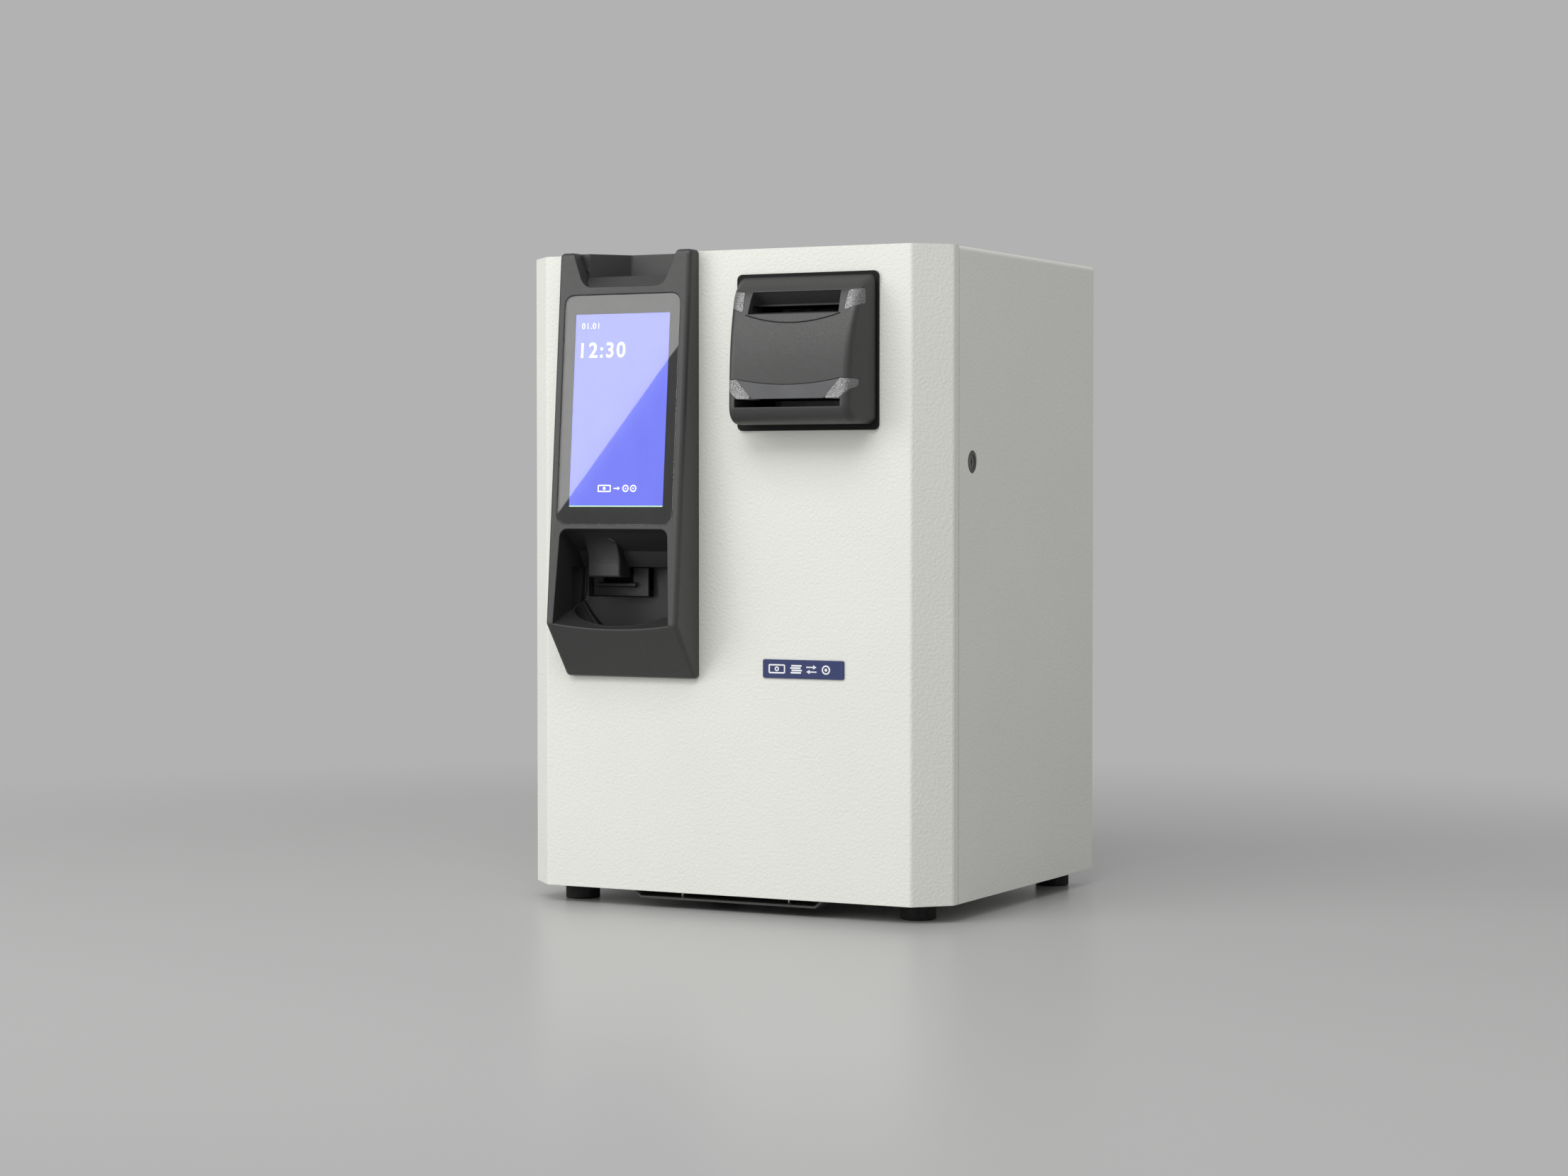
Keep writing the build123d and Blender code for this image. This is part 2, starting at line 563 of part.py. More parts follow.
with BuildPart() as terminal_housing:
    with BuildSketch(sideways(COLUMN_LEFT)) as profile:
        with BuildLine():
            Polyline(*column_profile(), close=True)
        make_face()
    extrude(profile.sketch, amount=COLUMN_W)
    fillet(terminal_housing.edges().filter_by(is_outer_edge), COLUMN_ROUND)
    # the neck that passes through the door and holds the bay
    block((-136.5, -28.1), (-1.0, 32.0), (178.5, 300.0))
    # coin bowl notch: open at the top, sloping inner lip
    with BuildSketch(upright(-60)) as notch:
        with BuildLine():
            Polyline((-140, 530), (-140, HORN_Z), (-129.7, HORN_Z), (-119.0, NOTCH_Z), (-46.0, NOTCH_Z),
                     (-34.5, HORN_Z), (-24, HORN_Z), (-24, 530), close=True)
        make_face()
        fillet(notch.vertices().group_by(Axis.Y)[0], NOTCH_ROUND)
        horns = notch.vertices().filter_by_position(Axis.Y, HORN_Z - 1, HORN_Z + 1).sort_by(Axis.X)
        fillet(horns[1:3], HORN_ROUND)
    extrude(notch.sketch, amount=-100, mode=Mode.SUBTRACT)
    # rebate for the glass and the deeper pocket for the screen module
    with BuildSketch(face_plane(0)) as glass_rebate:
        rounded(GLASS[0] - 0.35, GLASS[1] + 0.35, along_face(GLASS[2]) - 0.35, along_face(GLASS[3]) + 0.35,
                GLASS_R + 0.35)
    extrude(glass_rebate.sketch, amount=-GLASS_T - 0.3, mode=Mode.SUBTRACT)
    with BuildSketch(face_plane(0)) as screen_pocket:
        rounded(SCREEN[0] - 4, SCREEN[1] + 4, along_face(SCREEN[2]) - 6, along_face(SCREEN[3]) + 6, 2.0)
    extrude(screen_pocket.sketch, amount=-60, mode=Mode.SUBTRACT)
    # return bay: tapered mouth, sloping hood, then the deeper zone under the hood
    with BuildSketch(upright(-60)) as mouth:
        with BuildLine():
            Polyline((-131.9, BAY_TOP), (-136.0, BAY_FLOOR - 10), (-29.2, BAY_FLOOR - 10), (-33.7, BAY_TOP),
                     close=True)
        make_face()
        fillet(mouth.vertices().group_by(Axis.Y)[-1], 7.0)
    with BuildSketch(sideways(COLUMN_LEFT)) as bay_side:
        with BuildLine():
            Polyline((-60, BAY_TOP), (face_y(BAY_TOP), BAY_TOP), (face_y(BAY_TOP) + 10, BAY_TOP - 3.0),
                     (HOOD_Y - 8, HOOD_Z + 13), (HOOD_Y, HOOD_Z), (BAY_BACK, HOOD_Z), (BAY_BACK, 200),
                     (-60, 200), close=True)
        make_face()
    bay = extrude(mouth.sketch, amount=-(60 + BAY_BACK), mode=Mode.PRIVATE)
    bay_slice = extrude(bay_side.sketch, amount=COLUMN_W, mode=Mode.PRIVATE)
    add(bay & bay_slice & above_ledge(), mode=Mode.SUBTRACT)
    add(cup_column(CUP_WALL + 0.2, CUP_FLOOR - 2.2, HOOD_Z) & above_chin(2.6), mode=Mode.SUBTRACT)
    block((-129.6, -77.4), (12, 40), (235.0, HOOD_Z), mode=Mode.SUBTRACT)
    # spout that grows out of the hood on the left in one curve
    with BuildSketch(sideways(-122)) as spout_side:
        with BuildLine():
            Polyline((SPOUT_Y, 262), (SPOUT_Y, 251), (BAY_BACK, 251), (BAY_BACK, 288), (-17.5, 288),
                     (-17.5, 284.9))
            TangentArc((SPOUT_Y, 262), (-17.5, 284.9), tangent=(0, 1))
        make_face()
    extrude(spout_side.sketch, amount=30)
    fillet(terminal_housing.edges().filter_by(is_spout_edge), SPOUT_ROUND)
    fillet(terminal_housing.edges().filter_by(is_rim_edge), RIM_ROUND)
save(terminal_housing, "terminal_housing")

# ---------------------------------------------------------------- display
with BuildPart() as display_glass:
    with BuildSketch(face_plane(0)) as pane:
        rounded(GLASS[0], GLASS[1], along_face(GLASS[2]), along_face(GLASS[3]), GLASS_R)
    extrude(pane.sketch, amount=-GLASS_T)
    chamfer(display_glass.edges().group_by(Axis.Y)[0:1], 0.25)
save(display_glass, "display_glass")

with BuildPart() as lcd_panel:
    with BuildSketch(face_plane(0).offset(-GLASS_T - 0.3)) as module_face:
        rounded(SCREEN[0] - 3.5, SCREEN[1] + 3.5, along_face(SCREEN[2]) - 5.5, along_face(SCREEN[3]) + 5.5,
                1.5)
    extrude(module_face.sketch, amount=-LCD_T)
save(lcd_panel, "lcd_panel")

with BuildPart() as display_board:
    block((-126, -39), (6.0, 7.6), (316, 456))
    for x0, x1, z0, z1, height in (
            (-100, -76, 370, 394, 2), (-70, -56, 400, 414, 2), (-118, -92, 430, 446, 9),
            (-84, -54, 324, 336, 8), (-118, -106, 330, 360, 5)):
        block((x0, x1), (7.6, 7.6 + height), (z0, z1))
    for x in (-122, -43):
        for z in (320, 452):
            rod((x, -9.0 if z > 400 else -16.0, z), "Y", 2.5, 15.0 if z > 400 else 22.0)
save(display_board, "display_board")

# ---------------------------------------------------------------- coin bowl, cup, return chute, flap
BOWL_PLAN = [(-129.6, -20), (-129.0, -8), (-99, 28), (-50, 28), (-36, 2), (-35, -20)]
BOWL_CREST = (-2.5, 492.0)

with BuildPart() as coin_bowl:
    block((-131.4, -33.0), (0.2, 30.0), (466, 511))
    with BuildSketch(upright(0.2)) as apron_face:
        with BuildLine():
            Polyline((-124.0, 499.0), (-118.7, 483.3), (-46.3, 483.3), (-39.6, 499.0), close=True)
        make_face()
        fillet(apron_face.vertices().group_by(Axis.Y)[0], 10.8)
    extrude(apron_face.sketch, amount=17)
    with BuildSketch(sideways(-140)) as above_lip:
        with BuildLine():
            Polyline((-40, 520), (-40, 467.4), (face_y(483.3) + 0.5, 483.6), BOWL_CREST, (0.0, 492.0),
                     (1.5, 489.0), (7.0, 476.0), (29, 470.0), (29, 520), close=True)
        make_face()
    with BuildSketch(level(460)) as bowl_plan:
        with BuildLine():
            Polyline(*BOWL_PLAN, close=True)
        make_face()
        fillet(bowl_plan.vertices().group_by(Axis.Y)[-1], 3.0)
    across = extrude(above_lip.sketch, amount=120, mode=Mode.PRIVATE)
    upward = extrude(bowl_plan.sketch, amount=80, mode=Mode.PRIVATE)
    add(across & upward, mode=Mode.SUBTRACT)
    block((-92, -60), (20, 40), (469, 476), mode=Mode.SUBTRACT)
    block((-140, -20), (-40, 0.2), (499, 520), mode=Mode.SUBTRACT)
save(coin_bowl, "coin_bowl")

CHUTE = (-129.0, -78.0, 235.6, 258.6)

with BuildPart() as coin_cup:
    add(cup_column(CUP_WALL, CUP_FLOOR - CUP_WALL, HOOD_Z - 0.4) & above_chin(2.8))
    add(cup_column(0, CUP_FLOOR, 300) & above_chin(4.6), mode=Mode.SUBTRACT)
    with BuildSketch(sideways(-140)) as cup_rim:
        with BuildLine():
            Polyline((-60, 300), (-60, 190), (4.0, ledge_z(4.0) - 8), (10.0, 238), (10.0, 300), close=True)
        make_face()
    rim_space = extrude(cup_rim.sketch, amount=120, mode=Mode.PRIVATE)
    add(rim_space & above_ledge(), mode=Mode.SUBTRACT)
    block((CHUTE[0] - 0.5, CHUTE[1] + 0.5), (8, 40), (CHUTE[2] - 0.5, 300), mode=Mode.SUBTRACT)
    with BuildSketch(sideways(-140)) as slit:
        with BuildLine():
            Polyline((1.0, 240), (4.5, 240), (24.0, 196), (20.5, 196), close=True)
        make_face()
    extrude(slit.sketch, amount=26, mode=Mode.SUBTRACT)
save(coin_cup, "coin_cup")

FLAP_Y = 24.0
FLAP_Z = 255.5

with BuildPart() as return_chute:
    block((CHUTE[0], CHUTE[1]), (17.0, 19.0), (CHUTE[2], CHUTE[3]))
    block((-124, -88), (19.0, 29.8), (CHUTE[2] + 2, CHUTE[3]))
    block((-124, -88), (13.0, 17.0), (243.0, 246.5))
    fillet(return_chute.edges().filter_by(Axis.X).group_by(Axis.Y)[0], 1.4)
    block((-120, -92), (10, 40), (246.5, CHUTE[3] + 1), mode=Mode.SUBTRACT)
    rod((-126, FLAP_Y, FLAP_Z), "X", 1.06, 40, mode=Mode.SUBTRACT)
save(return_chute, "return_chute")

with BuildPart() as coin_flap:
    block((-119, -93), (FLAP_Y - 0.7, FLAP_Y + 0.7), (247.2, FLAP_Z))
    rod((-119, FLAP_Y, FLAP_Z), "X", 1.8, 26)
    rod((-122.5, FLAP_Y, FLAP_Z), "X", 1.0, 33)
save(coin_flap, "coin_flap")

# ---------------------------------------------------------------- note reader
PLATE_T = 2.5
BEZEL_FRONT = [(-PLATE_T, 487.5), (-12.0, 481.3), (-20.0, 474.0), (-24.8, 463.5), (-29.3, 450.0),
               (-33.2, 433.0), (-36.1, 402.0), (-36.7, 388.0)]
BEZEL_BASE = 372.0
CHIN_R = 14.0
BEZEL_ROUND = 6.0


def mirrored(points):
    """The same outline on the other side of the reader's centre line."""
    return [(2 * READER_X - x, z) for x, z in points]


def taper_cut(edge, lean, outward):
    """Plan outline of the wedge cut from one side of the bezel."""
    return [(edge, -PLATE_T), (edge + lean, -40), (edge + outward, -40), (edge + outward, -PLATE_T)]


def is_bezel_rim(edge):
    """True for the long edges that run down both sides of the bezel's front."""
    runs_down = abs(edge.tangent_at(0.5).X) < 0.5
    return edge.length > 30 and runs_down and edge.center().Y < FRONT_Y - 10


with BuildPart() as bezel_blank:
    with BuildSketch(sideways(BEZEL_LEFT)) as bezel_side:
        with BuildLine():
            Spline(*BEZEL_FRONT)
            Line((-36.7, 388.0), (-36.7, BEZEL_BASE + CHIN_R))
            CenterArc((-36.7 + CHIN_R, BEZEL_BASE + CHIN_R), CHIN_R, 180, 90)
            Line((-36.7 + CHIN_R, BEZEL_BASE), (-PLATE_T, BEZEL_BASE))
            Line((-PLATE_T, BEZEL_BASE), (-PLATE_T, 487.5))
        make_face()
    extrude(bezel_side.sketch, amount=BEZEL_RIGHT - BEZEL_LEFT)
    for edge, lean, outward in ((BEZEL_LEFT, 8.6, -5), (BEZEL_RIGHT, -8.6, 5)):
        with BuildSketch(level(360)) as wedge:
            with BuildLine():
                Polyline(*taper_cut(edge, lean, outward), close=True)
            make_face()
        extrude(wedge.sketch, amount=140, mode=Mode.SUBTRACT)
    fillet(bezel_blank.edges().filter_by(is_bezel_rim), BEZEL_ROUND)

UPPER_LENS = [(120.0, 474.6), (140.0, 476.4), (140.0, 470.5), (129.0, 462.5), (118.6, 458.8)]
LOWER_LENS = [(119.6, 406.6), (129.5, 406.0), (129.0, 400.0), (118.5, OUT_SLOT[3]), (106.0, OUT_SLOT[3])]
LENS_BACK = -15.0
PANEL_ARC = [(30.1, 406.4), (READER_X, 402.0), (119.6, 406.4)]


def lens_prism(outline, clearance):
    """Straight prism over a lens outline, from in front of the bezel back to the lens's rear."""
    with BuildPart() as prism:
        with BuildSketch(upright(LENS_BACK)) as shape:
            with BuildLine():
                Polyline(*outline, close=True)
            make_face()
            fillet(shape.vertices(), 1.2)
            if clearance:
                offset(amount=clearance)
        extrude(shape.sketch, amount=30)
    return prism.part


def panel_prism(clearance):
    """Prism over the smooth lower panel, between the lower arc and the exit slot."""
    with BuildPart() as prism:
        with BuildSketch(upright(-33.5)) as shape:
            with BuildLine():
                ThreePointArc(*PANEL_ARC)
                Line(PANEL_ARC[2], (105.6, OUT_SLOT[3]))
                Line((105.6, OUT_SLOT[3]), (44.1, OUT_SLOT[3]))
                Line((44.1, OUT_SLOT[3]), PANEL_ARC[0])
            make_face()
            if clearance:
                offset(amount=clearance)
        extrude(shape.sketch, amount=10)
    return prism.part


LENSES = [UPPER_LENS, mirrored(UPPER_LENS), LOWER_LENS, mirrored(LOWER_LENS)]

with BuildPart() as reader_bezel:
    add(bezel_blank.part)
    for outline in LENSES:
        add(lens_prism(outline, 0.12), mode=Mode.SUBTRACT)
    add(panel_prism(0.12), mode=Mode.SUBTRACT)
    # entry recess with its sloping back and floor, then the throat
    with BuildSketch(sideways(20)) as recess_side:
        with BuildLine():
            Polyline((-45, 474.6), (-18.5, 474.6), (-11.0, 465.2), (-11.0, 459.2), (-45, 455.0), close=True)
        make_face()
        fillet(recess_side.vertices().sort_by(Axis.Y)[2:4], 0.8)
    with BuildSketch(level(440)) as recess_plan:
        with BuildLine():
            Polyline((33.0, -45), (38.0, -10.9), (111.7, -10.9), (116.7, -45), close=True)
        make_face()
    recess = extrude(recess_side.sketch, amount=110, mode=Mode.PRIVATE)
    recess_walls = extrude(recess_plan.sketch, amount=50, mode=Mode.PRIVATE)
    add(recess & recess_walls, mode=Mode.SUBTRACT)
    block((READER_X - NOTE_W / 2 + 2, READER_X + NOTE_W / 2 - 2), (-20, 5), (IN_SLOT_Z - IN_SLOT_H / 2,
          IN_SLOT_Z + IN_SLOT_H / 2), mode=Mode.SUBTRACT)
    block((OUT_SLOT[0], OUT_SLOT[1]), (-50, 5), (OUT_SLOT[2], OUT_SLOT[3]), mode=Mode.SUBTRACT)
    # fine parting grooves above and below the main face
    for groove in ([(34.0, 456.7), (READER_X, 450.0), (115.7, 456.7)], PANEL_ARC):
        with BuildSketch(upright(-23.5 if groove[0][1] > 450 else -34.0)) as line:
            with BuildLine() as path:
                ThreePointArc(*groove)
            trace(path.line, 0.55)
        extrude(line.sketch, amount=30, mode=Mode.SUBTRACT)
    # room for the light board
    block((28.0, 121.7), (-21.0, 0), (398.0, 447.0), mode=Mode.SUBTRACT)
save(reader_bezel, "reader_bezel")

with BuildPart() as reader_panel:
    add(bezel_blank.part & panel_prism(0))
    for outline in LENSES:
        add(lens_prism(outline, 0.1), mode=Mode.SUBTRACT)
save(reader_panel, "reader_panel")

with BuildPart() as reader_lenses:
    for outline in LENSES:
        add(bezel_blank.part & lens_prism(outline, 0))
    block((20, 130), (-50, 5), (OUT_SLOT[2], OUT_SLOT[3]), mode=Mode.SUBTRACT)
save(reader_lenses, "reader_lenses")

with BuildPart() as reader_plate:
    with BuildSketch(upright(0)) as plate_face:
        rounded(*PLATE, 4.5)
    extrude(plate_face.sketch, amount=PLATE_T)
    block((30, 119.7), (-5, 5), (450.0, 474.0), mode=Mode.SUBTRACT)
    block((26.5, 123.2), (-5, 5), (380.0, 396.5), mode=Mode.SUBTRACT)
    block((50, 100), (-5, 5), (410.0, 440.0), mode=Mode.SUBTRACT)
save(reader_plate, "reader_plate")

with BuildPart() as note_entry_guide:
    block((30.5, 119.2), (-2.3, 33.0), (450.5, 473.5))
    block((READER_X - NOTE_W / 2 + 1, READER_X + NOTE_W / 2 - 1), (-5, 40),
          (IN_SLOT_Z - IN_SLOT_H / 2, IN_SLOT_Z + IN_SLOT_H / 2), mode=Mode.SUBTRACT)
    chamfer(note_entry_guide.edges().filter_by(Axis.X).group_by(Axis.Y)[-1], 1.5)
save(note_entry_guide, "note_entry_guide")

with BuildPart() as note_exit_guide:
    block((27.0, 122.7), (-2.3, 33.0), (380.4, 396.2))
    block((OUT_SLOT[0], OUT_SLOT[1]), (-5, 40), (OUT_SLOT[2], OUT_SLOT[3]), mode=Mode.SUBTRACT)
    chamfer(note_exit_guide.edges().filter_by(Axis.X).group_by(Axis.Y)[-1], 1.5)
save(note_exit_guide, "note_exit_guide")

with BuildPart() as light_board:
    block((30, 119.7), (-6.6, -5.0), (400, 445))
    for x in (35, 114.7):
        for z in (405, 440):
            block((x - 2.5, x + 2.5), (-7.8, -6.6), (z - 2.5, z + 2.5))
    block((66, 84), (-5.0, 2.0), (420, 428))
    for x in (40, 109.7):
        rod((x, -21.0, 422), "Y", 2.5, 14.4)
save(light_board, "light_board")

with BuildPart() as badge_plate:
    with BuildSketch(upright(0)) as badge:
        rounded(35.3, 106.2, 173.8, 188.5, 1.5)
    extrude(badge.sketch, amount=1.2)
    fillet(badge_plate.edges().group_by(Axis.Y)[0], 0.4)
save(badge_plate, "badge_plate")

# ---------------------------------------------------------------- shelf and note module
with BuildPart() as equipment_shelf:
    block((-184, 184), SHELF_Y, (SHELF_Z, SHELF_Z + SHEET))
    for y0 in (SHELF_Y[0], SHELF_Y[1] - SHEET):
        block((-168, 168), (y0, y0 + SHEET), (SHELF_Z - 14, SHELF_Z))
    block((30, 120), (150, 225), (SHELF_Z - 5, SHELF_Z + 5), mode=Mode.SUBTRACT)
    rod((COIN_C[0], COIN_C[1], SHELF_Z - 5), "Z", 24, 10, mode=Mode.SUBTRACT)
    block((-80, -40), (200, 240), (SHELF_Z - 5, SHELF_Z + 5), mode=Mode.SUBTRACT)
save(equipment_shelf, "equipment_shelf")

with BuildPart() as shelf_rails:
    for side in (-1, 1):
        wall = sorted((side * INSIDE, side * (INSIDE - SHEET)))
        ledge = sorted((side * INSIDE, side * (INSIDE - 16)))
        block(wall, (80, 290), (SHELF_Z - 18, SHELF_Z))
        block(ledge, (80, 290), (SHELF_Z - SHEET, SHELF_Z))
save(shelf_rails, "shelf_rails")

FEED = (82.0, 451.5)
PINION = (FEED[0] + GEAR_MODULE * (ROLLER_TEETH + PINION_TEETH) / 2, 451.5)
TRANSPORT = (PINION[0] + PINION[0] - FEED[0], 451.5)
DRUM_GAP = DRUM_MODULE * DRUM_TEETH
DRUM_UPPER = (228.0, 420.0)
DRUM_LOWER = (228.0, 420.0 - DRUM_GAP)
PLATE_PAIR = (NOTE_X[0], NOTE_X[1] - SHEET)

with BuildPart() as note_side_plates:
    for x0 in PLATE_PAIR:
        with BuildSketch(sideways(x0)) as cheek:
            rounded(NOTE_Y[0], NOTE_Y[1], SHELF_Z + SHEET, 488.0, 5)
            for y, z in (FEED, TRANSPORT, DRUM_UPPER, DRUM_LOWER):
                with Locations((y, z)):
                    Circle(SHAFT_R + 0.05, mode=Mode.SUBTRACT)
            with Locations(PINION):
                Circle(SHAFT_R + 1.0, mode=Mode.SUBTRACT)
            with Locations((120, 360), (120, 300)):
                SlotOverall(70, 30, mode=Mode.SUBTRACT)
        extrude(cheek.sketch, amount=SHEET)
    for z in (PINION[1] - 15, PINION[1] + 15):
        rod((NOTE_X[1], PINION[0], z), "X", 2.5, 6.5)
save(note_side_plates, "note_side_plates")

with BuildPart() as note_cover:
    block((NOTE_X[0] - 1.4, NOTE_X[1] + 1.4), (NOTE_Y[0] + 6, NOTE_Y[1] - 6), (488.2, 489.7))
    for x in (NOTE_X[0] + SHEET, NOTE_X[1] - 2 * SHEET):
        block((x, x + SHEET), (NOTE_Y[0] + 6, NOTE_Y[1] - 6), (478, 488.2))
    for y, z in ((NOTE_Y[1] - 12, 262), (NOTE_Y[0] + 12, 262), (NOTE_Y[1] - 12, 470)):
        rod((NOTE_X[0] + SHEET, y, z), "X", 4, NOTE_X[1] - NOTE_X[0] - 2 * SHEET)
save(note_cover, "note_cover")


def roller_shaft(centre, turn):
    """A rubber-tyred roller shaft with its drive gear outside the right-hand side plate."""
    y, z = centre
    with BuildPart() as shaft:
        rod((NOTE_X[0] - 4, y, z), "X", SHAFT_R, NOTE_X[1] - NOTE_X[0] + 10)
        for x in (38, 68, 98):
            rod((x, y, z), "X", ROLLER_R, 14)
        with BuildSketch(wheel_plane(NOTE_X[1] + 0.6, centre)) as teeth:
            with BuildLine():
                Polyline(*gear_outline(ROLLER_TEETH, GEAR_MODULE, turn), close=True)
            make_face()
        extrude(teeth.sketch, amount=GEAR_T)
    return shaft


feed_roller = roller_shaft(FEED, 0)
save(feed_roller, "feed_roller")

transport_roller = roller_shaft(TRANSPORT, 0)
save(transport_roller, "transport_roller")

with BuildPart() as drive_pinion:
    with BuildSketch(wheel_plane(NOTE_X[1] + 0.6, PINION)) as pinion_teeth:
        with BuildLine():
            Polyline(*gear_outline(PINION_TEETH, GEAR_MODULE, 180 / PINION_TEETH), close=True)
        make_face()
    extrude(pinion_teeth.sketch, amount=GEAR_T)
    rod((NOTE_X[1] - 1, *PINION), "X", 2.0, 12)
save(drive_pinion, "drive_pinion")

with BuildPart() as note_motor:
    block((NOTE_X[1] + 6.6, NOTE_X[1] + 8.1), (PINION[0] - 14, PINION[0] + 14),
          (PINION[1] - 20, PINION[1] + 20))
    rod((NOTE_X[1] + 8.1, *PINION), "X", 13.5, 30)
    rod((NOTE_X[1] + 38.1, *PINION), "X", 5, 3)
    rod((NOTE_X[1] + 5, *PINION), "X", 2.06, 7, mode=Mode.SUBTRACT)
save(note_motor, "note_motor")


def storage_drum(centre, turn):
    """A flanged note-storage drum with its gear outside the left-hand side plate."""
    y, z = centre
    with BuildPart() as drum:
        rod((NOTE_X[0] - 6.5, y, z), "X", SHAFT_R, NOTE_X[1] - NOTE_X[0] + 9)
        rod((31, y, z), "X", DRUM_R - 5, 88)
        for x in (28.5, 119):
            rod((x, y, z), "X", DRUM_R, 2.5)
        with BuildSketch(wheel_plane(NOTE_X[0] - 0.6 - GEAR_T, centre)) as teeth:
            with BuildLine():
                Polyline(*gear_outline(DRUM_TEETH, DRUM_MODULE, turn), close=True)
            make_face()
        extrude(teeth.sketch, amount=GEAR_T)
    return drum


storage_drum_upper = storage_drum(DRUM_UPPER, -90)
save(storage_drum_upper, "storage_drum_upper")

storage_drum_lower = storage_drum(DRUM_LOWER, 90 + 180 / DRUM_TEETH)
save(storage_drum_lower, "storage_drum_lower")

# ---------------------------------------------------------------- note cassette
CASSETTE = ((22.0, 128.0), (76.0, 236.0), (14.0, 222.0))
CASSETTE_WALL = 2.5
BAIL_Y = 71.0
BAIL_Z = 198.0

with BuildPart() as note_cassette:
    block(*CASSETTE)
    fillet(note_cassette.edges().filter_by(Axis.Z), 5.0)
    block(*[(low + CASSETTE_WALL, high - CASSETTE_WALL) for low, high in CASSETTE], mode=Mode.SUBTRACT)
    block((31, 119), (176, 196), (210, 230), mode=Mode.SUBTRACT)
    for x in (40, 106):
        block((x, x + 4), (BAIL_Y - 4, 77.5), (BAIL_Z - 5, BAIL_Z + 5))
    rod((35, BAIL_Y, BAIL_Z), "X", 2.06, 80, mode=Mode.SUBTRACT)
save(note_cassette, "note_cassette")

with BuildPart() as cassette_handle:
    rod((36.5, BAIL_Y, BAIL_Z), "X", 2.0, 77)
    for x in (44.6, 99.9):
        block((x, x + 5.5), (BAIL_Y - 2.5, BAIL_Y + 2.5), (BAIL_Z - 32, BAIL_Z + 2.5))
    block((44.6, 105.4), (BAIL_Y - 2.5, BAIL_Y + 2.5), (BAIL_Z - 37, BAIL_Z - 28))
save(cassette_handle, "cassette_handle")

# ---------------------------------------------------------------- coin unit
HOPPER = ((-162.0, -28.0), (38.0, 250.0), (240.0, 430.0))
HOPPER_FLOOR = 258.0
DISC_T = 6.0

SLOPE_Z = (HOPPER_FLOOR + 14, HOPPER_FLOOR + 100)

with BuildPart() as slope_cone:
    with BuildSketch(level(SLOPE_Z[0])) as slope_foot:
        with Locations(COIN_C):
            Circle(DISC_R + 2)
    extrude(slope_foot.sketch, amount=SLOPE_Z[1] - SLOPE_Z[0], taper=-45)
    block((-200, 50), (-20, 300), (SLOPE_Z[1], 450))
slopes = slope_cone.part

with BuildPart() as coin_hopper:
    block(HOPPER[0], HOPPER[1], (HOPPER_FLOOR - 3, HOPPER[2][1]))
    fillet(coin_hopper.edges().filter_by(Axis.Z), 8.0)
    with BuildPart(mode=Mode.PRIVATE) as hollow_box:
        block((HOPPER[0][0] + 3, HOPPER[0][1] - 3), (HOPPER[1][0] + 3, HOPPER[1][1] - 3), (SLOPE_Z[0], 450))
        fillet(hollow_box.edges().filter_by(Axis.Z), 5.0)
    add(hollow_box.part & slopes, mode=Mode.SUBTRACT)
    rod((COIN_C[0], COIN_C[1], HOPPER_FLOOR), "Z", DISC_R + 2, 14.1, mode=Mode.SUBTRACT)
    rod((COIN_C[0], COIN_C[1], 200), "Z", 4.06, 80, mode=Mode.SUBTRACT)
    block((-119, -91), (30, COIN_C[1] - 40), (HOPPER_FLOOR + 1, HOPPER_FLOOR + 11), mode=Mode.SUBTRACT)
    for x in (HOPPER[0][0] + 6, HOPPER[0][1] - 18):
        for y in (HOPPER[1][0] + 30, HOPPER[1][1] - 20):
            block((x, x + 12), (y, y + 12), (SHELF_Z + SHEET, HOPPER_FLOOR - 3))
save(coin_hopper, "coin_hopper")

with BuildPart() as coin_disc:
    rod((COIN_C[0], COIN_C[1], HOPPER_FLOOR + 0.5), "Z", DISC_R, DISC_T)
    with Locations(place(COIN_C[0], COIN_C[1], HOPPER_FLOOR)):
        with PolarLocations(40, 7):
            Cylinder(13.5, 30, mode=Mode.SUBTRACT)
    rod((COIN_C[0], COIN_C[1], HOPPER_FLOOR + DISC_T), "Z", 14, 6)
    rod((COIN_C[0], COIN_C[1], HOPPER_FLOOR - 4.5), "Z", 4.0, 10)
save(coin_disc, "coin_disc")

with BuildPart() as coin_motor:
    rod((COIN_C[0], COIN_C[1], 214), "Z", 21, 39)
    rod((COIN_C[0], COIN_C[1], 206), "Z", 16, 8)
    block((COIN_C[0] - 26, COIN_C[0] + 26), (COIN_C[1] - 6, COIN_C[1] + 6), (253, 255))
    rod((COIN_C[0], COIN_C[1], 250), "Z", 4.06, 6, mode=Mode.SUBTRACT)
save(coin_motor, "coin_motor")

COIN_BOX = ((-162.0, -28.0), (70.0, 290.0), (8.0, 190.0))

with BuildPart() as coin_box:
    block(*COIN_BOX)
    fillet(coin_box.edges().filter_by(Axis.Z), 6.0)
    block(*[(low + 2, high - 2) for low, high in COIN_BOX[:2]], (COIN_BOX[2][0] + 2, 300), mode=Mode.SUBTRACT)
    block((-125, -65), (60, 80), (160, 178), mode=Mode.SUBTRACT)
save(coin_box, "coin_box")

# ---------------------------------------------------------------- power and control
with BuildPart() as power_supply:
    block((-12, 88), (246, 298), (84, 210))
    for step in range(12):
        block((-8, 84), (244, 249), (92 + 9.5 * step, 96 + 9.5 * step), mode=Mode.SUBTRACT)
save(power_supply, "power_supply")

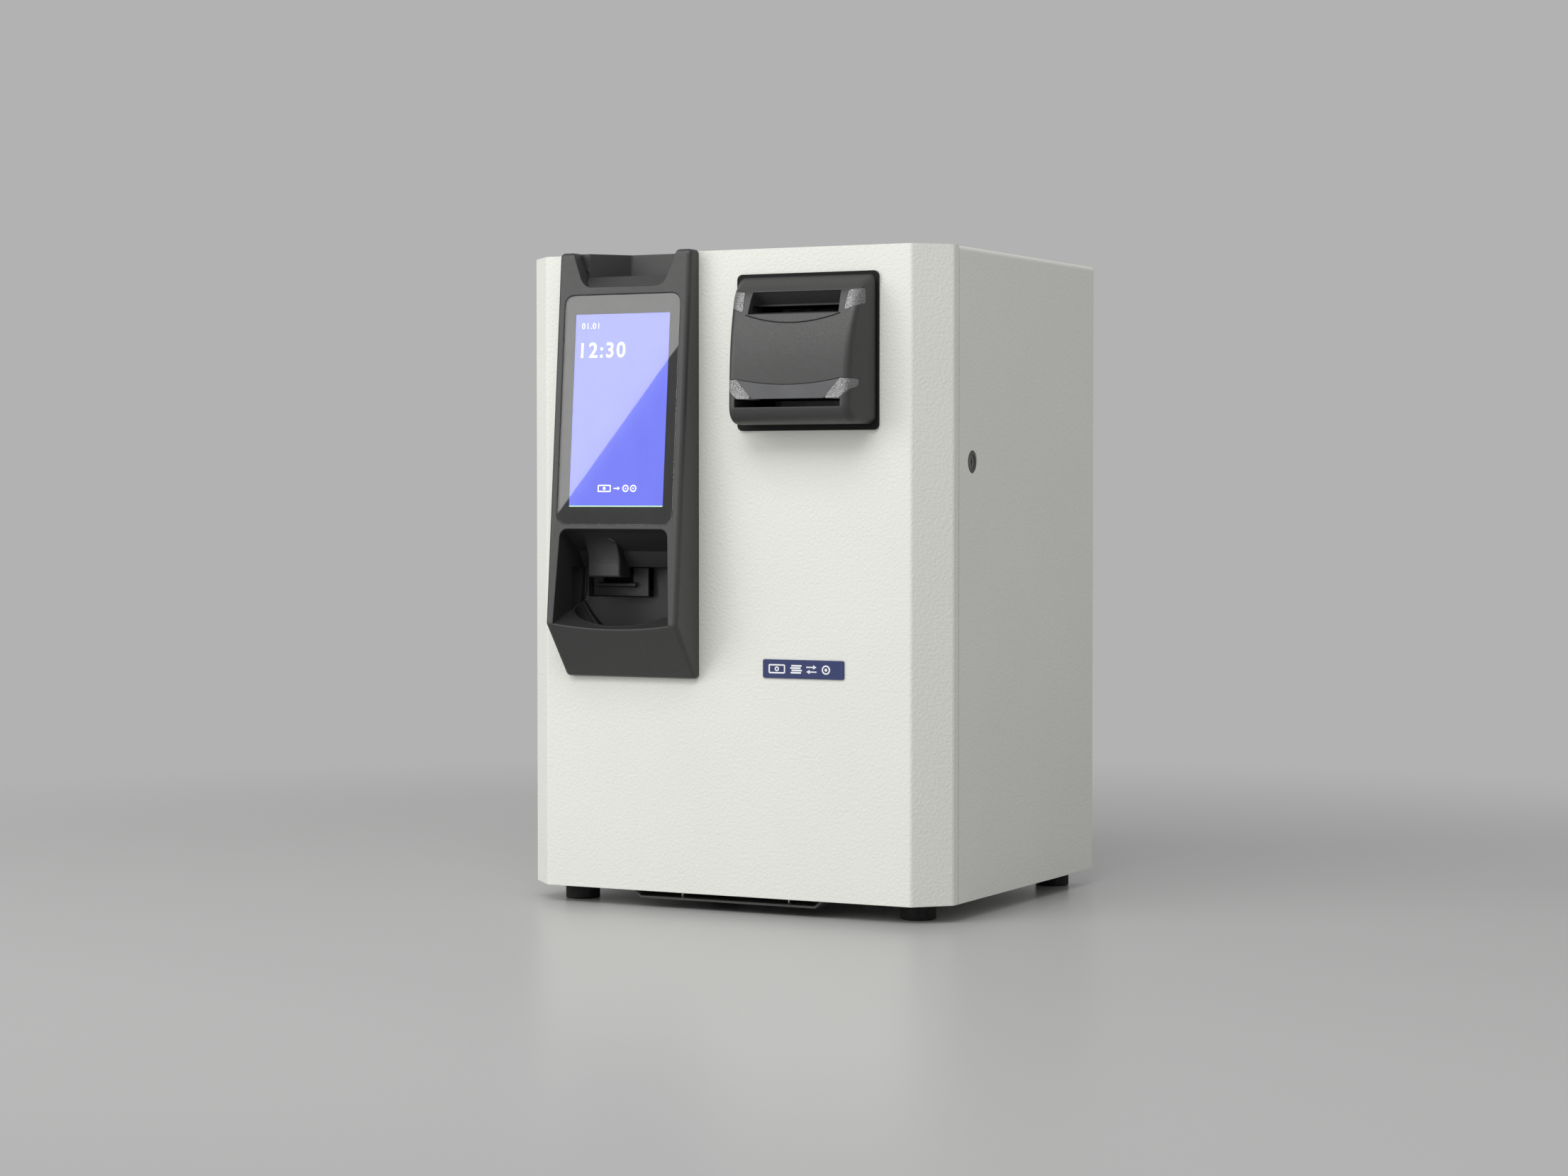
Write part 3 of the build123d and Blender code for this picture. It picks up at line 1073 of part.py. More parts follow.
with BuildPart() as control_board:
    block((-180, -178.4), (80, 280), (262, 420))
    for y0, y1, z0, z1, height in (
            (120, 150, 330, 360, 6), (180, 230, 380, 410, 9), (90, 110, 280, 330, 8),
            (160, 176, 280, 296, 3), (200, 260, 270, 290, 10), (240, 262, 330, 352, 3)):
        block((-178.4, -178.4 + height), (y0, y1), (z0, z1))
    for y in (86, 274):
        for z in (268, 414):
            rod((-INSIDE, y, z), "X", 3, 6.5)
save(control_board, "control_board")

with BuildPart() as fan_frame:
    with BuildSketch(upright(308.8)) as frame_face:
        with Locations((FAN_C[0], FAN_C[1])):
            RectangleRounded(80, 80, 4)
            Circle(FAN_R, mode=Mode.SUBTRACT)
            with GridLocations(71.5, 71.5, 2, 2):
                Circle(2.2, mode=Mode.SUBTRACT)
    extrude(frame_face.sketch, amount=25)
    rod((FAN_C[0], 283.8, FAN_C[1]), "Y", 14, 2.5)
    for turn in range(3):
        with BuildSketch(upright(286.3)) as strut:
            with Locations(Location((FAN_C[0], FAN_C[1]), 30 + 120 * turn)):
                with Locations((25, 0)):
                    Rectangle(28, 5)
        extrude(strut.sketch, amount=2.5)
    rod((FAN_C[0], 283, FAN_C[1]), "Y", 2.06, 6, mode=Mode.SUBTRACT)
save(fan_frame, "fan_frame")

with BuildPart() as fan_rotor:
    rod((FAN_C[0], 287.5, FAN_C[1]), "Y", 15, 17)
    rod((FAN_C[0], 284.2, FAN_C[1]), "Y", 2.0, 5)
    with BuildSketch(upright(303.5)) as blades:
        with Locations((FAN_C[0], FAN_C[1])):
            with PolarLocations(24.5, 7):
                Rectangle(22, 2.4)
    extrude(blades.sketch, amount=14)
save(fan_rotor, "fan_rotor")

with BuildPart() as fan_guard:
    for ring in (12, 22, 32, 41):
        with BuildSketch(upright(DEPTH + REAR_PROUD)) as wire:
            with Locations((FAN_C[0], FAN_C[1])):
                Circle(ring + 0.9)
                Circle(ring - 0.9, mode=Mode.SUBTRACT)
        extrude(wire.sketch, amount=1.8)
    for turn in range(4):
        with BuildSketch(upright(DEPTH + 0.7)) as spoke:
            with Locations(Location((FAN_C[0], FAN_C[1]), 45 + 90 * turn)):
                with Locations((31, 0)):
                    Rectangle(40, 1.8)
                with Locations((50.6, 0)):
                    Circle(3.4)
        extrude(spoke.sketch, amount=-1.0)
        with BuildSketch(upright(DEPTH - 0.5)) as pad:
            with Locations(Location((FAN_C[0], FAN_C[1]), 45 + 90 * turn)):
                with Locations((50.6, 0)):
                    Circle(3.4)
        extrude(pad.sketch, amount=-1.3)
save(fan_guard, "fan_guard")

INLET = (117.0, 54.0)

with BuildPart() as power_inlet:
    block((INLET[0] - 13.7, INLET[0] + 13.7), (286, 310.5), (INLET[1] - 11.7, INLET[1] + 11.7))
    with BuildSketch(upright(310.5)) as inlet_flange:
        rounded(INLET[0] - 23, INLET[0] + 23, INLET[1] - 13.5, INLET[1] + 13.5, 4)
    extrude(inlet_flange.sketch, amount=-2.2)
    with BuildSketch(upright(320)) as socket:
        with BuildLine():
            Polyline((INLET[0] - 11, INLET[1] - 8), (INLET[0] + 11, INLET[1] - 8),
                     (INLET[0] + 11, INLET[1] + 3), (INLET[0] + 6, INLET[1] + 8), (INLET[0] - 6, INLET[1] + 8),
                     (INLET[0] - 11, INLET[1] + 3), close=True)
        make_face()
    extrude(socket.sketch, amount=24, mode=Mode.SUBTRACT)
    for x, z in ((INLET[0], INLET[1] + 3.5), (INLET[0] - 7, INLET[1] - 1.5), (INLET[0] + 7, INLET[1] - 1.5)):
        block((x - 1, x + 1), (294, 310), (z - 2, z + 2))
save(power_inlet, "power_inlet")

SWITCH = (72.5, 54.0)

with BuildPart() as switch_body:
    block((SWITCH[0] - 9.7, SWITCH[0] + 9.7), (292, 310.5), (SWITCH[1] - 7.2, SWITCH[1] + 7.2))
    block((SWITCH[0] - 11.5, SWITCH[0] + 11.5), (310.5, 311.6), (SWITCH[1] - 8.8, SWITCH[1] + 8.8))
    block((SWITCH[0] - 8.9, SWITCH[0] + 8.9), (298, 315), (SWITCH[1] - 6.2, SWITCH[1] + 6.2),
          mode=Mode.SUBTRACT)
    rod((SWITCH[0], 306.5, SWITCH[1] - 6.8), "Z", 0.86, 13.6, mode=Mode.SUBTRACT)
save(switch_body, "switch_body")

with BuildPart() as power_switch:
    with BuildSketch(level(SWITCH[1] - 5.6)) as rocker:
        with BuildLine():
            Polyline((SWITCH[0] - 7.6, 310.6), (SWITCH[0], 309.6), (SWITCH[0] + 7.2, 312.2), (SWITCH[0] + 7.4, 306.6),
                     (SWITCH[0], 303.4), (SWITCH[0] - 7.4, 305.2), close=True)
        make_face()
    extrude(rocker.sketch, amount=11.2)
    rod((SWITCH[0], 306.5, SWITCH[1] - 6.6), "Z", 0.8, 13.2)
save(power_switch, "power_switch")
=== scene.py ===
"""Finishes, printed marks and studio for a counter-top cash payment machine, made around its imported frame."""
import json
import math

import bmesh
import bpy
from bpy.props import FloatProperty, FloatVectorProperty, PointerProperty, StringProperty
from mathutils import Matrix, Vector


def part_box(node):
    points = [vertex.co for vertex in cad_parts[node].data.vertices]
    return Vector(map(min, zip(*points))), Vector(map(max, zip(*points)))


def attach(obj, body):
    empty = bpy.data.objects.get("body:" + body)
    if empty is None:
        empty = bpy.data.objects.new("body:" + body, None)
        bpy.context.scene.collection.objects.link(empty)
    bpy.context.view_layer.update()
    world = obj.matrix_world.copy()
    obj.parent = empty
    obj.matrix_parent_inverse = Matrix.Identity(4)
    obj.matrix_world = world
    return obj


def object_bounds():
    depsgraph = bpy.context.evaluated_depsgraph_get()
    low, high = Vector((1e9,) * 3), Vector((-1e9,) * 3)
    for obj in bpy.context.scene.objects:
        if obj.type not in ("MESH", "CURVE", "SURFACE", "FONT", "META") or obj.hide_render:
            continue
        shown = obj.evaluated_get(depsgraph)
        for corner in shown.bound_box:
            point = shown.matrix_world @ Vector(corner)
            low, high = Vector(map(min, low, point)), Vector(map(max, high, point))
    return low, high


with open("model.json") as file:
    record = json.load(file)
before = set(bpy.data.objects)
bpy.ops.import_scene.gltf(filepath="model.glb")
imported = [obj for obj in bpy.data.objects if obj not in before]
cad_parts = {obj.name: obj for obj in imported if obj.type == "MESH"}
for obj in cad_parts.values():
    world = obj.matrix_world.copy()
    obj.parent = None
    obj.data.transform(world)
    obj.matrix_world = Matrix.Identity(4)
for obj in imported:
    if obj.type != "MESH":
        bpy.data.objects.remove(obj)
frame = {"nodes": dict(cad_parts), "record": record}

bl_info = {
    "name": "Cash Payment Machine",
    "version": (1, 0, 0),
    "blender": (4, 5, 0),
    "location": "View3D > Sidebar > Cash Machine",
    "description": "Finishes and small printed pieces of a counter-top cash payment machine",
    "category": "Object",
}

CAD_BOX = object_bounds()

# the frame brings plain materials, which would take the names of the finishes below
for plain in list(bpy.data.materials):
    bpy.data.materials.remove(plain)

MM = 0.001
FACING = 0.8               # smallest share of a normal along the way its face has to look
FLAT = 0.01 * MM           # points this close to a plane lie on it
DOUBLED = 0.001 * MM       # points this close together are one
KEY_SIZE = (2.5, 1.5)      # width and depth of the large soft light, in metres
CARD_SIZE = (2.3, 1.5)     # and of the small one that the glass mirrors


# ---------------------------------------------------------------- settings
class CabinetSettings(bpy.types.PropertyGroup):
    """Colours and texture of the sheet-metal cabinet."""

    coat: FloatVectorProperty(
        name="Powder coat", description="Colour of the coated sheet", subtype="COLOR", size=3,
        default=(0.80, 0.810, 0.760), min=0.0, max=1.0)
    peel: FloatProperty(
        name="Orange peel", description="Width of one lump of the coat's orange peel", subtype="DISTANCE",
        unit="LENGTH", default=2.3 * MM, min=0.5 * MM, max=8 * MM)
    peel_height: FloatProperty(
        name="Peel height", description="Height of the coat's lumps", subtype="DISTANCE", unit="LENGTH",
        default=0.19 * MM, min=0.0, max=1 * MM)


class PlasticSettings(bpy.types.PropertyGroup):
    """Colours and texture of the dark mouldings."""

    textured: FloatVectorProperty(
        name="Textured grey", description="Colour of the spark-eroded mouldings", subtype="COLOR", size=3,
        default=(0.021, 0.0212, 0.021), min=0.0, max=1.0)
    panel: FloatVectorProperty(
        name="Panel grey", description="Colour of the smooth insert of the note reader", subtype="COLOR",
        size=3, default=(0.095, 0.096, 0.102), min=0.0, max=1.0)
    grain: FloatProperty(
        name="Grain", description="Width of one grain of the mould's texture", subtype="DISTANCE",
        unit="LENGTH", default=0.55 * MM, min=0.1 * MM, max=3 * MM)


class DisplaySettings(bpy.types.PropertyGroup):
    """What the lit screen shows, and its printed border."""

    wallpaper: FloatVectorProperty(
        name="Wallpaper", description="Colour of the screen's background", subtype="COLOR", size=3,
        default=(0.165, 0.195, 0.98), min=0.0, max=1.0)
    border: FloatVectorProperty(
        name="Border", description="Colour printed behind the glass around the screen", subtype="COLOR",
        size=3, default=(0.036, 0.036, 0.036), min=0.0, max=1.0)
    clock: StringProperty(name="Clock", description="Time shown in large digits", default="12:30")
    day: StringProperty(name="Day", description="Day shown in small digits", default="01.01")
    clock_height: FloatProperty(
        name="Clock height", description="Height of the large digits", subtype="DISTANCE", unit="LENGTH",
        default=12.2 * MM, min=4 * MM, max=30 * MM)
    day_height: FloatProperty(
        name="Day height", description="Height of the small digits", subtype="DISTANCE", unit="LENGTH",
        default=4.6 * MM, min=2 * MM, max=12 * MM)


class StudioSettings(bpy.types.PropertyGroup):
    """Floor, light and camera."""

    grey: FloatProperty(
        name="Surroundings", description="Brightness of the even grey around the machine", default=0.445,
        min=0.0, max=2.0)
    floor: FloatVectorProperty(
        name="Floor", description="Colour of the floor", subtype="COLOR", size=3, default=(0.46, 0.46, 0.46),
        min=0.0, max=1.0)
    key: FloatProperty(
        name="Key light", description="Power of the large soft light in front", subtype="POWER", unit="POWER",
        default=49.0, min=0.0)
    key_height: FloatProperty(
        name="Key height", description="Angle of the large light above the counter", subtype="ANGLE",
        unit="ROTATION", default=math.radians(48.0))
    key_turn: FloatProperty(
        name="Key turn", description="Angle of the large light to the left of straight ahead", subtype="ANGLE",
        unit="ROTATION", default=math.radians(-6.0))
    key_distance: FloatProperty(
        name="Key distance", description="Distance of the large light from the machine", subtype="DISTANCE",
        unit="LENGTH", default=3.0, min=1.0)
    card: FloatProperty(
        name="Card", description="Power of the small light that is mirrored in the glass", subtype="POWER",
        unit="POWER", default=32.0, min=0.0)
    card_distance: FloatProperty(
        name="Card distance", description="Distance of the small light from the screen", subtype="DISTANCE",
        unit="LENGTH", default=2.6, min=1.0)
    lens: FloatProperty(
        name="Lens", description="Focal length on a 36 mm wide sensor, in millimetres", default=75.34, min=10.0)
    camera_place: FloatVectorProperty(
        name="Camera", description="Where the camera stands", subtype="XYZ", unit="LENGTH", size=3,
        default=(1.2268, -2.42085, 0.3315))
    camera_turn: FloatProperty(
        name="Turn", description="How far the camera turns left of straight ahead", subtype="ANGLE",
        unit="ROTATION", default=math.radians(27.203))
    camera_tilt: FloatProperty(
        name="Tilt", description="How far the camera looks down", subtype="ANGLE", unit="ROTATION",
        default=math.radians(1.640))


# ---------------------------------------------------------------- materials
class Finish:
    """A principled material whose detail nodes read the piece's own coordinates, in metres."""

    def __init__(self, name):
        self.material = bpy.data.materials.new(name)
        self.material.use_nodes = True
        self.tree = self.material.node_tree
        self.tree.nodes.clear()
        self.output = self.add("ShaderNodeOutputMaterial")
        self.shader = self.add("ShaderNodeBsdfPrincipled")
        self.join(self.shader.outputs["BSDF"], self.output.inputs["Surface"])
        self.place = self.add("ShaderNodeTexCoord").outputs["Object"]

    def add(self, kind, **settings):
        node = self.tree.nodes.new(kind)
        for name, value in settings.items():
            setattr(node, name, value)
        return node

    def join(self, source, target):
        self.tree.links.new(source, target)

    def even(self, **values):
        """Sets sockets that are the same all over the surface."""
        for name, value in values.items():
            socket = self.shader.inputs[name.replace("_", " ")]
            socket.default_value = (*value, 1.0) if hasattr(value, "__len__") and len(value) == 3 else value

    def stretched(self, stretch):
        """The piece's coordinates, stretched to draw grain out along an axis."""
        mapping = self.add("ShaderNodeMapping")
        mapping.inputs["Scale"].default_value = stretch
        self.join(self.place, mapping.inputs["Vector"])
        return mapping.outputs["Vector"]

    def noise(self, width, detail=2.0, rough=0.5, stretch=None):
        """Cloudy pattern from 0 to 1 with features of this width, in metres."""
        node = self.add("ShaderNodeTexNoise")
        node.inputs["Scale"].default_value = 1.0 / width
        node.inputs["Detail"].default_value = detail
        node.inputs["Roughness"].default_value = rough
        self.join(self.stretched(stretch) if stretch else self.place, node.inputs["Vector"])
        return node.outputs["Fac"]

    def cells(self, width):
        """Pattern of distances to scattered cell centres of this width, in metres."""
        node = self.add("ShaderNodeTexVoronoi")
        node.inputs["Scale"].default_value = 1.0 / width
        self.join(self.place, node.inputs["Vector"])
        return node.outputs["Distance"]

    def spread(self, value, low, high, to_low, to_high):
        """Maps a pattern's range low..high onto to_low..to_high, without passing them."""
        node = self.add("ShaderNodeMapRange", clamp=True)
        for name, number in (("From Min", low), ("From Max", high), ("To Min", to_low), ("To Max", to_high)):
            node.inputs[name].default_value = number
        self.join(value, node.inputs["Value"])
        return node.outputs["Result"]

    def mixed(self, factor, first, second):
        """Colour between two colours, or between a colour and another pattern's colour."""
        node = self.add("ShaderNodeMix", data_type="RGBA")
        self.join(factor, node.inputs["Factor"])
        for socket, colour in ((node.inputs[6], first), (node.inputs[7], second)):
            if hasattr(colour, "links"):
                self.join(colour, socket)
            else:
                socket.default_value = (*colour, 1.0)
        return node.outputs[2]

    def maths(self, first, second, operation="MULTIPLY"):
        """Two patterns, or a pattern and a number, put together by one operation."""
        node = self.add("ShaderNodeMath", operation=operation)
        self.join(first, node.inputs[0])
        if hasattr(second, "links"):
            self.join(second, node.inputs[1])
        else:
            node.inputs[1].default_value = second
        return node.outputs["Value"]

    def bump(self, height, distance, strength=1.0, over=None):
        """Normal of a surface raised by a pattern, laid over another normal if there is one."""
        node = self.add("ShaderNodeBump")
        node.inputs["Strength"].default_value = strength
        node.inputs["Distance"].default_value = distance
        self.join(height, node.inputs["Height"])
        if over is not None:
            self.join(over, node.inputs["Normal"])
        return node.outputs["Normal"]

    def soft_edges(self, radius):
        """Normal that rolls over sharp edges, as paint and moulding do."""
        node = self.add("ShaderNodeBevel", samples=4)
        node.inputs["Radius"].default_value = radius
        return node.outputs["Normal"]

    def set(self, colour=None, roughness=None, normal=None, emission=None):
        """Joins patterns to the shader and gives the finished material."""
        for value, name in ((colour, "Base Color"), (roughness, "Roughness"), (normal, "Normal"),
                            (emission, "Emission Color")):
            if value is not None:
                self.join(value, self.shader.inputs[name])
        return self.material


def scaled(colour, amount):
    return tuple(min(1.0, channel * amount) for channel in colour)


def powder_coat(settings):
    """Off-white polyester powder coat with its orange peel, faint clouds and hand marks."""
    coat = Finish("powder_coat")
    coat.even(Specular_IOR_Level=0.35)
    clouds = coat.noise(0.11, 3.0)
    grit = coat.noise(settings.peel * 0.28, 2.0)
    lumps = coat.noise(settings.peel, 1.2, 0.45)
    tone = coat.mixed(coat.spread(clouds, 0.3, 0.7, 0.0, 1.0), scaled(settings.coat, 0.975), settings.coat)
    tone = coat.mixed(coat.spread(grit, 0.35, 0.75, 0.0, 0.10), tone, scaled(settings.coat, 0.86))
    normal = coat.bump(coat.spread(lumps, 0.25, 0.75, 0.0, 1.0), settings.peel_height, 1.0,
                       coat.soft_edges(0.6 * MM))
    normal = coat.bump(grit, settings.peel_height * 0.35, 0.6, normal)
    return coat.set(tone, coat.spread(coat.noise(0.03, 3.0), 0.3, 0.7, 0.44, 0.56), normal)


def textured_plastic(settings, name="textured_grey", shade=1.0, rough=0.48):
    """Dark ABS with a spark-eroded texture: fine pits, speckled sheen and softly rounded edges."""
    plastic = Finish(name)
    plastic.even(Specular_IOR_Level=0.8)
    colour = scaled(settings.textured, shade)
    grain = plastic.noise(settings.grain, 3.0, 0.65)
    pits = plastic.cells(settings.grain * 1.3)
    clouds = plastic.noise(0.05, 3.0)
    tone = plastic.mixed(plastic.spread(grain, 0.34, 0.68, 0.0, 1.0), scaled(colour, 0.70),
                         scaled(colour, 1.38))
    tone = plastic.mixed(plastic.spread(clouds, 0.35, 0.75, 0.0, 0.35), tone, scaled(colour, 1.12))
    roughness = plastic.spread(plastic.noise(settings.grain * 1.7, 2.0), 0.3, 0.7, rough - 0.09, rough + 0.09)
    normal = plastic.bump(grain, 0.10 * MM, 0.9, plastic.soft_edges(1.2 * MM))
    normal = plastic.bump(pits, 0.03 * MM, 0.5, normal)
    return plastic.set(tone, roughness, normal)


def smooth_plastic(name, colour, rough=0.34, edge=0.35, shine=0.5):
    """Smooth moulding with a faint flow pattern and fine scuffs."""
    plastic = Finish(name)
    plastic.even(Specular_IOR_Level=shine)
    flow = plastic.noise(0.02, 4.0, 0.6)
    scuffs = plastic.noise(0.0012, 3.0, 0.7, (1.0, 1.0, 0.15))
    tone = plastic.mixed(plastic.spread(flow, 0.3, 0.7, 0.0, 1.0), scaled(colour, 0.90), scaled(colour, 1.08))
    roughness = plastic.spread(scuffs, 0.3, 0.7, rough - 0.05, rough + 0.08)
    normal = plastic.bump(plastic.noise(0.0007, 2.0), 0.012 * MM, 0.6, plastic.soft_edges(edge * MM))
    return plastic.set(tone, roughness, normal)


def metal(name, colour, rough=0.34, stretch=(1.0, 1.0, 0.04), spangle=0.0):
    """Plated or drawn metal with its brushing, blotches and dull fingerprints."""
    plate = Finish(name)
    plate.even(Metallic=1.0)
    strokes = plate.noise(0.0009, 3.0, 0.6, stretch)
    blotches = plate.noise(0.018, 3.0, 0.6)
    tone = plate.mixed(plate.spread(blotches, 0.3, 0.7, 0.0, 1.0), scaled(colour, 0.86), scaled(colour, 1.06))
    if spangle:
        flakes = plate.cells(0.009)
        tone = plate.mixed(plate.spread(flakes, 0.1, 0.7, 0.0, spangle), tone, scaled(colour, 0.62))
    roughness = plate.spread(plate.maths(strokes, blotches, "ADD"), 0.7, 1.3, rough - 0.08, rough + 0.12)
    return plate.set(tone, roughness, plate.bump(strokes, 0.012 * MM, 0.5, plate.soft_edges(0.25 * MM)))


def rubber(name, colour, grain=0.8):
    """Matte rubber with a bloomed, dusty surface."""
    soft = Finish(name)
    soft.even(Specular_IOR_Level=0.3)
    dust = soft.noise(0.006, 4.0, 0.65)
    fine = soft.noise(grain * MM, 3.0, 0.6)
    tone = soft.mixed(soft.spread(dust, 0.42, 0.78, 0.0, 0.5), colour, scaled([c + 0.03 for c in colour], 1.5))
    normal = soft.bump(fine, 0.06 * MM, 0.7, soft.soft_edges(0.5 * MM))
    return soft.set(tone, soft.spread(dust, 0.3, 0.7, 0.70, 0.88), normal)


def cover_glass():
    """Clear glass with the faintest smears of use."""
    glass = Finish("cover_glass")
    glass.even(Transmission_Weight=1.0, IOR=1.5, Roughness=0.0)
    smears = glass.noise(0.02, 4.0, 0.6, (1.0, 1.0, 0.4))
    tone = glass.mixed(glass.spread(smears, 0.4, 0.8, 0.0, 1.0), (0.98, 0.985, 0.985), (0.93, 0.94, 0.94))
    return glass.set(tone)


def lit_screen(settings, foot, top):
    """Backlit panel: dark sides and back, and in front an even wallpaper with a fine grain of rows."""
    screen = Finish("screen")
    screen.even(Base_Color=(0.02, 0.02, 0.024), Roughness=0.05)
    facing = screen.add("ShaderNodeSeparateXYZ")
    screen.join(screen.add("ShaderNodeTexCoord").outputs["Normal"], facing.inputs["Vector"])
    lit = screen.spread(facing.outputs["Y"], -0.9, -0.6, 1.0, 0.0)
    screen.join(lit, screen.shader.inputs["Emission Strength"])
    height = screen.add("ShaderNodeSeparateXYZ")
    screen.join(screen.place, height.inputs["Vector"])
    lift = screen.spread(height.outputs["Z"], foot, top, 0.0, 1.0)
    tone = screen.mixed(lift, settings.wallpaper, scaled(settings.wallpaper, 1.06))
    rows = screen.noise(0.0004, 1.0, 0.5, (1.0, 1.0, 2.5))
    tone = screen.mixed(screen.spread(rows, 0.3, 0.7, 0.0, 0.05), tone, scaled(settings.wallpaper, 0.8))
    return screen.set(emission=tone)


def glowing(name, colour, strength=1.0):
    """Lit marks on the screen, with the slight unevenness of its backlight."""
    mark = Finish(name)
    mark.even(Base_Color=(0.3, 0.3, 0.3), Roughness=0.4, Emission_Strength=strength)
    tone = mark.mixed(mark.noise(0.004, 2.0), scaled(colour, 0.97), colour)
    return mark.set(emission=tone)


def frosted_lens(middle):
    """Clear moulding with an etched back. Its white sparkle is painted glints in the colour, made to glow
    faintly, and fainter at the lens's ends, beyond about 50 mm from the reader's middle.
    """
    lens = Finish("lens_clear")
    lens.even(Transmission_Weight=0.25, IOR=1.49, Emission_Strength=0.22)
    sparkle = lens.noise(0.0005, 2.0, 0.8)
    flakes = lens.cells(0.0008)
    # painted glints: white specks where the etch's grain and its cells meet
    painted_glint_mask = lens.maths(lens.spread(sparkle, 0.42, 0.60, 0.0, 1.0), lens.spread(flakes, 0.0, 0.65, 1.0, 0.35))
    across = lens.add("ShaderNodeSeparateXYZ")
    lens.join(lens.place, across.inputs["Vector"])
    offset = lens.maths(across.outputs["X"], middle, "SUBTRACT")
    reach = lens.maths(lens.maths(offset, offset), 0.5, "POWER")
    # the painted glints fade to under half beyond about 50 mm from the reader's middle
    glint_fade_at_ends = lens.spread(reach, 48.5 * MM, 51.5 * MM, 1.0, 0.42)
    tone = lens.mixed(lens.maths(painted_glint_mask, glint_fade_at_ends), (0.05, 0.052, 0.054), (1.0, 1.0, 1.0))
    normal = lens.bump(sparkle, 0.2 * MM, 1.0, lens.soft_edges(0.4 * MM))
    # the painted glints glow as well as showing in the colour
    lens.join(tone, lens.shader.inputs["Emission Color"])
    return lens.set(tone, lens.spread(sparkle, 0.3, 0.7, 0.18, 0.5), normal)


def printed_badge():
    """Deep blue domed label with a satin lacquer."""
    label = Finish("badge_blue")
    label.even(Coat_Weight=0.2, Coat_Roughness=0.3)
    ink = label.noise(0.0008, 3.0, 0.6)
    tone = label.mixed(label.spread(ink, 0.3, 0.7, 0.0, 1.0), (0.016, 0.028, 0.118), (0.022, 0.036, 0.145))
    return label.set(tone, label.spread(label.noise(0.01, 3.0), 0.3, 0.7, 0.42, 0.52),
                     label.bump(ink, 0.01 * MM, 0.5, label.soft_edges(0.4 * MM)))


def circuit_board():
    """Green solder mask over copper: pads and tracks show through as lighter, slightly raised lines."""
    board = Finish("circuit_green")
    board.even(Coat_Weight=0.4, Coat_Roughness=0.2)
    tracks = board.add("ShaderNodeTexBrick")
    for name, value in (("Scale", 90.0), ("Mortar Size", 0.035), ("Brick Width", 0.9), ("Row Height", 0.16)):
        tracks.inputs[name].default_value = value
    board.join(board.stretched((1.0, 1.0, 1.3)), tracks.inputs["Vector"])
    shade = board.mixed(tracks.outputs["Fac"], (0.010, 0.085, 0.035), (0.035, 0.20, 0.075))
    tone = board.mixed(board.spread(board.noise(0.006, 3.0), 0.3, 0.7, 0.0, 0.5), shade, (0.008, 0.07, 0.03))
    return board.set(tone, board.spread(board.noise(0.002, 2.0), 0.3, 0.7, 0.34, 0.5),
                     board.bump(tracks.outputs["Fac"], 0.03 * MM, 0.8))


FINISHES = {}


def all_finishes(scene):
    """Every finish by its slot in the record, and the worn one of the lock's plug."""
    plastic = scene.cash_plastic
    glass_low, glass_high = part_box("lcd_panel")
    lens_low, lens_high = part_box("reader_lenses")
    return {
        "powder_coat": powder_coat(scene.cash_cabinet),
        "zinc_sheet": metal("zinc_sheet", (0.62, 0.63, 0.64), 0.36, (1.0, 1.0, 0.05), 0.35),
        "bracket_steel": smooth_plastic("bracket_steel", (0.055, 0.056, 0.055), 0.38),
        "bright_steel": metal("bright_steel", (0.72, 0.72, 0.72), 0.22),
        "lock_dark": metal("lock_dark", (0.10, 0.10, 0.10), 0.30, (1.0, 0.2, 1.0)),
        "worn_plug": metal("worn_plug", (0.16, 0.16, 0.155), 0.34, (1.0, 0.2, 1.0)),
        "rubber_black": rubber("rubber_black", (0.012, 0.012, 0.012)),
        "textured_grey": textured_plastic(plastic),
        "black_plastic": smooth_plastic("black_plastic", (0.004, 0.004, 0.0045), 0.5, shine=0.2),
        "panel_grey": smooth_plastic("panel_grey", tuple(plastic.panel), 0.36),
        "cover_glass": cover_glass(),
        "screen": lit_screen(scene.cash_display, glass_low.z, glass_high.z),
        "lens_clear": frosted_lens((lens_low.x + lens_high.x) / 2),
        "badge_blue": printed_badge(),
        "circuit_green": circuit_board(),
        "roller_rubber": rubber("roller_rubber", (0.045, 0.045, 0.050), 0.5),
        "gear_white": smooth_plastic("gear_white", (0.72, 0.70, 0.63), 0.40),
        "module_grey": textured_plastic(plastic, "module_grey", 4.5, 0.5),
        "cassette_blue": smooth_plastic("cassette_blue", (0.030, 0.095, 0.26), 0.38),
        "hopper_plastic": smooth_plastic("hopper_plastic", (0.035, 0.035, 0.038), 0.40),
        "coin_red": smooth_plastic("coin_red", (0.42, 0.035, 0.025), 0.36),
        "motor_can": metal("motor_can", (0.52, 0.52, 0.52), 0.30, (0.05, 1.0, 1.0)),
    }


def finish_for(name):
    """The finish of this name; all are made at the first call."""
    if not FINISHES:
        FINISHES.update(all_finishes(bpy.context.scene))
    return FINISHES[name]


def dress(node):
    """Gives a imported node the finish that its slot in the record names."""
    slot = next(part["material_slot"] for part in frame["record"]["subparts"] if part["node"] == node)
    piece = frame["nodes"][node]
    piece.data.materials.clear()
    piece.data.materials.append(finish_for(slot))
    return piece


